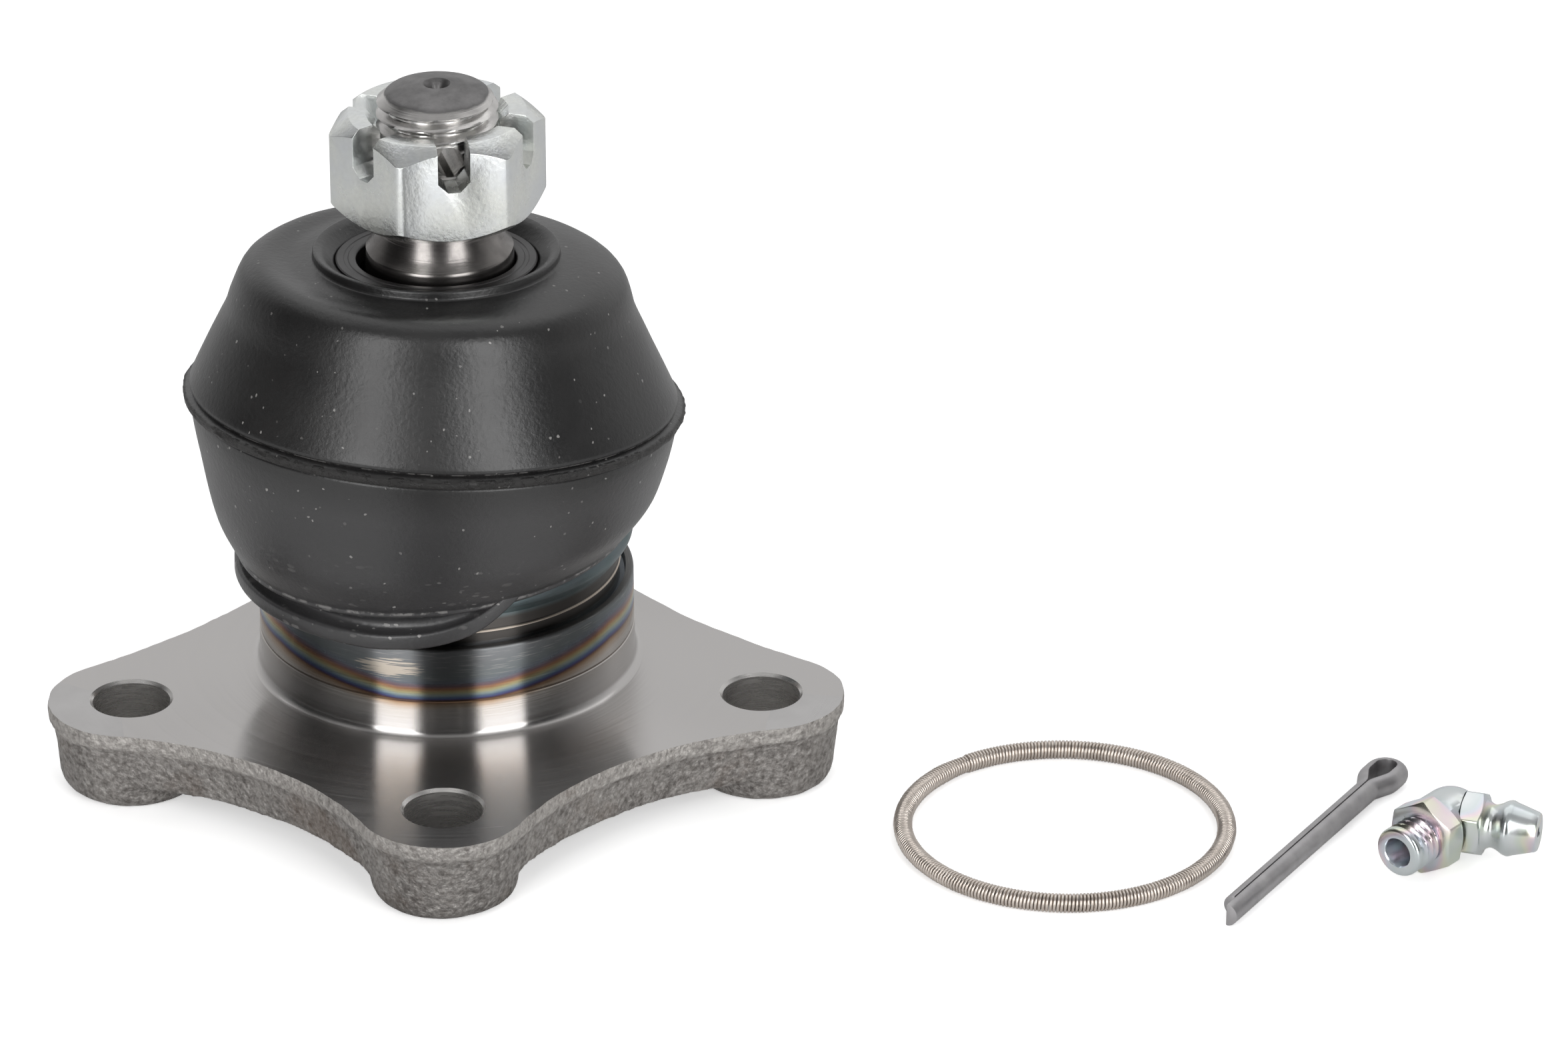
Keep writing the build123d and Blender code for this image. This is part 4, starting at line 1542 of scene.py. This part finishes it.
# %% Give each face of the flange its finish
dress(blank, [forged, faced, drilled, collar], "housing", ["housing"])
forged_face, faced_face, hole_face, collar_face = range(4)
collar_foot_r, hub_r, machined_from = 23.02, 20.4, -0.02
for face in blank.data.polygons:
    spot = face.center / mm
    from_axis = math.hypot(spot.x, spot.y)
    in_hole = min((spot.xy - centre.xy).length for centre in lobes) < hole_r + 0.4
    if from_axis < collar_foot_r and spot.z > machined_from:
        face.material_index = collar_face
    elif in_hole and spot.z < -0.01:
        face.material_index = hole_face
    elif spot.z > machined_from or from_axis < hub_r:
        face.material_index = faced_face
    else:
        face.material_index = forged_face
counts = [sum(face.material_index == index for face in blank.data.polygons) for index in range(4)]
print("Faces of each finish:", counts)

# %% [markdown]
# ## Steel of the stud
# The stud is bright where the thread was cut, darker on the neck below it, and dull on the
# domed top, which still has its skin from hardening. The height tells the three apart.

# %% Turned stud
turned, tree, shader, place = new_material("turned_steel", 1.0, 0.3, (0.4, 0.39, 0.38))
rings = use_group(tree, turning_marks, {"Vector": place, "Pitch": 0.0003, "Wander": 1.0})
height = add_node(tree, "ShaderNodeSeparateXYZ", {0: place}).outputs["Z"]
clouds = use_group(tree, mottle, {"Vector": place, "Scale": 300.0, "Low": 0.35, "High": 0.65})
worn = math_node(tree, "ADD", height, math_node(tree, "MULTIPLY", clouds["Mask"], 0.0002))
dome = spread(tree, worn, 0.07125, 0.07145)
dull = mix_colour(tree, clouds["Mask"], (0.12, 0.118, 0.118), (0.22, 0.215, 0.215))
bare = mix_colour(tree, clouds["Mask"], (0.5, 0.49, 0.48), (0.64, 0.625, 0.61))
neck = mix_colour(tree, clouds["Mask"], (0.17, 0.16, 0.155), (0.27, 0.255, 0.245))
bare = mix_colour(tree, spread(tree, height, 0.0572, 0.0578), neck, bare)
tree.links.new(mix_colour(tree, dome, bare, dull), shader.inputs["Base Color"])
tree.links.new(spread(tree, dome, 0, 1, 0.25, 0.45), shader.inputs["Roughness"])
bump(tree, shader, rings["Height"], 0.00004, 0.6)
dress(stud, [turned], "stud", ["ball_stud"])

# %% [markdown]
# ## Zinc on the nut
# Bright zinc is a light, faintly blue metal whose tone drifts over the flats. Two mottles of
# very different size give the drift and the fine grain.

# %% Zinc-plated nut
plated, tree, shader, place = new_material("zinc_plate", 1.0, 0.32)
clouds = use_group(tree, mottle, {"Vector": place, "Scale": 160.0, "Low": 0.35, "High": 0.65})
grains = use_group(tree, mottle, {"Vector": place, "Scale": 1800.0, "Low": 0.3, "High": 0.7})
zinc = mix_colour(tree, clouds["Mask"], (0.74, 0.765, 0.78), (0.83, 0.845, 0.8))
zinc = mix_colour(tree, math_node(tree, "MULTIPLY", grains["Mask"], 0.25), zinc, (0.5, 0.5, 0.5))
tree.links.new(zinc, shader.inputs["Base Color"])
tree.links.new(spread(tree, clouds["Mask"], 0, 1, 0.2, 0.3), shader.inputs["Roughness"])
bump(tree, shader, grains["Mask"], 0.00003, 0.5)
dress(nut, [plated], "nut", ["castle_nut"])

# %% [markdown]
# ## Rubber
# The boot is nearly black, but its grazing sheen and a film of dust lift it to dark grey. Marks
# that belong to the moulding, such as the parting line, follow the height that each vertex had
# before the boot was bent, so they bend with it.

# %% Rubber of the boot
rubber, tree, shader, place = new_material(
    "boot_rubber", 0.0, 0.4, (0.02, 0.02, 0.021), Specular_IOR_Level=0.65
)
moulded = add_node(tree, "ShaderNodeAttribute", attribute_name="moulded_height").outputs["Fac"]
clouds = use_group(tree, mottle, {"Vector": place, "Scale": 45.0, "Low": 0.35, "High": 0.68})
grains = use_group(tree, mottle, {"Vector": place, "Scale": 1600.0, "Low": 0.35, "High": 0.7})
black = mix_colour(tree, clouds["Mask"], (0.0075, 0.0075, 0.0078), (0.0175, 0.0168, 0.0166))


def height_band(low, high, soft):
    """1 between two moulded heights, fading out over a soft margin on both sides"""
    over = spread(tree, moulded, low - soft, low)
    return math_node(tree, "MULTIPLY", over, spread(tree, moulded, high + soft, high))


print("Material:", rubber.name)

# %% [markdown]
# Dust lies everywhere, and thickly where the skirt has rubbed on the steel. The lines of the
# moulding and the torn flash have their own heights. All of it goes on in thin layers, each with
# its own mask, and the masks also raise the surface a little.

# %% Dust, lines and torn edge of the rubber
fine = use_group(tree, specks, {"Vector": place, "Scale": 2100.0, "Size": 0.42, "Share": 0.05})
flat = add_node(tree, "ShaderNodeMapping", {0: place, "Scale": (0.7, 0.7, 1.6)}).outputs[0]
coarse = use_group(tree, specks, {"Vector": flat, "Scale": 1100.0, "Size": 0.5, "Share": 0.5})
patches = use_group(tree, mottle, {"Vector": place, "Scale": 70.0, "Low": 0.5, "High": 0.62})
low_down = spread(tree, moulded, 24.0, 17.5)
settled = math_node(
    tree, "MULTIPLY", math_node(tree, "MULTIPLY", coarse["Mask"], patches["Mask"]), low_down
)
chipped = use_group(tree, mottle, {"Vector": place, "Scale": 700.0, "Low": 0.48, "High": 0.56})
line = math_node(tree, "MAXIMUM", height_band(17.0, 17.2, 0.12), height_band(33.82, 33.92, 0.06))
line = math_node(tree, "MULTIPLY", line, math_node(tree, "MULTIPLY", chipped["Mask"], 0.55))
recess = math_node(tree, "MULTIPLY", height_band(14.2, 16.4, 0.5), coarse["Mask"])
dusty = math_node(tree, "MAXIMUM", fine["Mask"], settled)
dusty = math_node(tree, "MAXIMUM", math_node(tree, "MAXIMUM", dusty, recess), line)
film = math_node(tree, "MULTIPLY", math_node(tree, "MULTIPLY", low_down, clouds["Mask"]), 0.25)
film = math_node(tree, "ADD", film, spread(tree, moulded, 31.6, 28.0, 0.0, 0.5))
black = mix_colour(tree, film, black, (0.05, 0.049, 0.051))
torn = height_band(32.35, 33.4, 0.1)
black = mix_colour(tree, torn, black, (0.007, 0.006, 0.0055))
black = mix_colour(tree, math_node(tree, "MULTIPLY", dusty, 0.8), black, (0.33, 0.32, 0.31))
tree.links.new(black, shader.inputs["Base Color"])
gloss = spread(tree, clouds["Mask"], 0, 1, 0.28, 0.38)
gloss = math_node(tree, "ADD", gloss, math_node(tree, "MULTIPLY", torn, 0.2))
tree.links.new(gloss, shader.inputs["Roughness"])
relief = math_node(tree, "ADD", grains["Mask"], math_node(tree, "MULTIPLY", dusty, 2.0))
ragged = math_node(tree, "MULTIPLY", torn, math_node(tree, "MULTIPLY", chipped["Mask"], 6.0))
relief = math_node(tree, "ADD", relief, ragged)
bump(tree, shader, relief, 0.00003, 0.6)
print("The rubber has", len(tree.nodes), "nodes")

# %% [markdown]
# ## Dressing the boot's shells
# Both shells get smooth shading and the rubber, and take the place of the measured boot.

# %% Dress the boot's shells
for shell in (boot_lower, boot_upper):
    dress(shell, [rubber], None, ["dust_boot"], sharp=60)
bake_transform(boot_lower)
ridge = lean_at(ridge_height)
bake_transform(boot_upper)

# %% [markdown]
# ## Small metal parts
# The ring is a harder black than the boot. The spring, the pin and the parts inside only drift
# in tone and gloss, so one helper makes all of their metals.

# %% Ring, garter spring and split pin
ring_black, tree, shader, place = new_material("ring_black", 0.0, 0.35, (0.02, 0.019, 0.02))
clouds = use_group(tree, mottle, {"Vector": place, "Scale": 200.0, "Low": 0.3, "High": 0.7})
tree.links.new(
    mix_colour(tree, clouds["Mask"], (0.014, 0.013, 0.014), (0.03, 0.028, 0.028)),
    shader.inputs["Base Color"],
)
tree.links.new(spread(tree, clouds["Mask"], 0, 1, 0.3, 0.42), shader.inputs["Roughness"])
dress(top_ring, [ring_black], "boot_ring", ["boot_top_ring"])


def plain_steel(name, dark, light, low, high, metallic=1.0, scale=400.0):
    """A metal whose tone and gloss drift between two values"""
    material, tree, shader, place = new_material(name, metallic, low)
    clouds = use_group(tree, mottle, {"Vector": place, "Scale": scale, "Low": 0.3, "High": 0.7})
    tree.links.new(mix_colour(tree, clouds["Mask"], dark, light), shader.inputs["Base Color"])
    tree.links.new(spread(tree, clouds["Mask"], 0, 1, low, high), shader.inputs["Roughness"])
    return material


spring_wire = plain_steel("spring_wire", (0.56, 0.5, 0.45), (0.72, 0.655, 0.6), 0.26, 0.38)
dress(garter, [spring_wire], "garter", ["garter_spring"], sharp=80)
pin_metal = plain_steel("pin_steel", (0.34, 0.33, 0.34), (0.47, 0.46, 0.465), 0.38, 0.5)
dress(split_pin, [pin_metal], "pin", ["split_pin"])

# %% [markdown]
# ## Passivated zinc
# The nipple is plated too, but its passivation is a thin film that turns pink, green and yellow
# in patches. The same idea as on the collar works: a noise stands for the film's thickness, and
# a ramp turns it into colours.

# %% Zinc with a rainbow sheen, on the nipple
rainbow, tree, shader, place = new_material("passivated_zinc", 1.0, 0.25)
film = add_node(tree, "ShaderNodeTexNoise", {"Vector": place, "Scale": 130.0, "Detail": 1.0})
thickness = math_node(tree, "FRACT", math_node(tree, "MULTIPLY", film.outputs["Fac"], 3.2))
tint = ramp(
    tree,
    thickness,
    [
        (0.0, (0.63, 0.68, 0.69)),
        (0.35, (0.71, 0.735, 0.74)),
        (0.52, (0.67, 0.73, 0.65)),
        (0.62, (0.76, 0.755, 0.62)),
        (0.74, (0.76, 0.65, 0.69)),
        (0.86, (0.65, 0.67, 0.73)),
        (1.0, (0.63, 0.68, 0.69)),
    ],
)
tree.links.new(tint, shader.inputs["Base Color"])
grains = use_group(tree, mottle, {"Vector": place, "Scale": 900.0, "Low": 0.3, "High": 0.7})
tree.links.new(spread(tree, grains["Mask"], 0, 1, 0.2, 0.27), shader.inputs["Roughness"])
dress(elbow_body, [rainbow], "nipple", ["nipple_elbow"])
dress(nipple_top, [rainbow], "nipple", ["nipple_head"])

# %% [markdown]
# ## The check spring
# It gets the spring wire and takes the place of the measured spring.

# %% Dress the check spring
dress(check_spring, [spring_wire], None, ["nipple_check_spring"], sharp=80)
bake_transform(check_spring)

# %% [markdown]
# ## Inside the joint
# The ball's bearings, the disc spring and the cover can't be seen until the joint is taken
# apart. Their measured shapes are plain and true, so they only get their finishes.

# %% Hidden pieces keep their measured shape
resin = plain_steel("bearing_resin", (0.7, 0.68, 0.6), (0.76, 0.74, 0.67), 0.45, 0.55, 0.0)
polished = plain_steel("hard_steel", (0.5, 0.5, 0.51), (0.6, 0.6, 0.61), 0.1, 0.18)
cover = plain_steel("cover_steel", (0.33, 0.32, 0.31), (0.42, 0.41, 0.4), 0.32, 0.46)
finishes = {
    "nipple_check_ball": polished,
    "preload_spring": spring_wire,
    "upper_bearing_seat": resin,
    "lower_bearing_seat": resin,
    "end_cover": cover,
}
for name, node in frame["nodes"].items():
    print(name, "shown with", finishes[name].name if name in finishes else "its dressed piece")
    if name in finishes:
        node.data.materials.clear()
        node.data.materials.append(finishes[name])

# %% [markdown]
# ## Light and floor
# The parts were photographed on a white table. Two tall softboxes near the camera give the two
# bright stripes on the collar and the two streaks on the faced top; a broad one above gives the
# soft shadows. The table shows itself to the camera as plain white but keeps its shadows.

# %% Lights
def softbox(name, azimuth, elevation, distance, width, height, watts):
    """A rectangular lamp that faces the ball joint; azimuth 0 is the camera's side"""
    data = bpy.data.lights.new(name, "AREA")
    data.shape = "RECTANGLE"
    data.size = width
    data.size_y = height
    data.energy = watts
    lamp = bpy.data.objects.new(name, data)
    turn, rise = math.radians(azimuth), math.radians(elevation)
    flat = math.cos(rise)
    away = Vector((math.sin(turn) * flat, -math.cos(turn) * flat, math.sin(rise)))
    lamp.location = Vector((0.02, 0, 0.02)) + away * distance
    lamp.rotation_euler = away.to_track_quat("Z", "Y").to_euler()
    bpy.context.scene.collection.objects.link(lamp)
    return lamp


lamp_reach = 0.9
softbox("left_box", -31.5, 20, lamp_reach, width=0.373, height=0.78, watts=3.9)
softbox("right_box", 32, 20, lamp_reach, width=0.42, height=0.78, watts=4.4)
softbox("top_box", 175, 68, lamp_reach, width=1.2, height=0.8, watts=1.9)

# %% [markdown]
# ## Surroundings
# Metal shows what is around it. The room is dark in front and light behind and above, which
# gives the faced flange its bright far half and its dark near half. Camera rays see plain white.

# %% World
world = bpy.data.worlds.new("studio")
bpy.context.scene.world = world
world.use_nodes = True
tree = world.node_tree
background = tree.nodes["Background"]
place = tree.nodes.new("ShaderNodeTexCoord").outputs["Generated"]
split = add_node(tree, "ShaderNodeSeparateXYZ", {0: place})
tilted = math_node(
    tree, "ADD", split.outputs["Y"], math_node(tree, "MULTIPLY", split.outputs["X"], 0.3)
)
behind = spread(tree, tilted, -0.1, 0.75, 0.03, 0.77)
above = spread(tree, split.outputs["Z"], 0.62, 0.85, 0.0, 0.42)
around = math_node(tree, "MAXIMUM", behind, above)
ray = add_node(tree, "ShaderNodeLightPath")
seen = mix_colour(tree, ray.outputs["Is Camera Ray"], around, (1.0, 1.0, 1.0))
tree.links.new(seen, background.inputs["Color"])
print("World:", world.name)

# %% [markdown]
# ## Table
# The table is white, and shows itself so to the camera and in mirrors. A darker strip in front,
# seen in reflections alone, stands for the camera's own shadowed side between the two lamps.

# %% Floor
bm = bmesh.new()
bmesh.ops.create_grid(bm, x_segments=1, y_segments=1, size=3.0)
bmesh.ops.translate(bm, vec=(0, 0, ground * mm), verts=bm.verts)
floor = as_object("table", bm)
white, tree, shader, place = new_material("table_white", 0.0, 0.6, (0.8, 0.8, 0.8))
shader.inputs["Specular IOR Level"].default_value = 0.2
ray = add_node(tree, "ShaderNodeLightPath")
shown = math_node(
    tree,
    "MAXIMUM",
    ray.outputs["Is Camera Ray"],
    math_node(tree, "MAXIMUM", ray.outputs["Is Glossy Ray"], ray.outputs["Is Transmission Ray"]),
)
split = add_node(tree, "ShaderNodeSeparateXYZ", {0: place})
nearer = math_node(tree, "MULTIPLY", split.outputs["Y"], -1.0)
azimuth = math_node(tree, "ABSOLUTE", math_node(tree, "ARCTAN2", split.outputs["X"], nearer))
beside = spread(tree, azimuth, 0.19, 0.3)
mirrored = mix_colour(tree, beside, (0.28, 0.28, 0.28), (1.0, 1.0, 1.0))
mirrored = mix_colour(tree, spread(tree, azimuth, 0.6, 1.4), mirrored, (0.76, 0.76, 0.76))
bright = mix_colour(tree, ray.outputs["Is Camera Ray"], mirrored, (1.0, 1.0, 1.0))
tree.links.new(mix_colour(tree, shown, (0.8, 0.8, 0.8), bright), shader.inputs["Base Color"])
shader.inputs["Emission Color"].default_value = (1, 1, 1, 1)
glow = math_node(tree, "MULTIPLY", ray.outputs["Is Camera Ray"], 0.45)
tree.links.new(glow, shader.inputs["Emission Strength"])
floor.data.materials.append(white)
print("Floor at", ground, "mm")

# %% View transform
bpy.context.scene.view_settings.view_transform = "Standard"
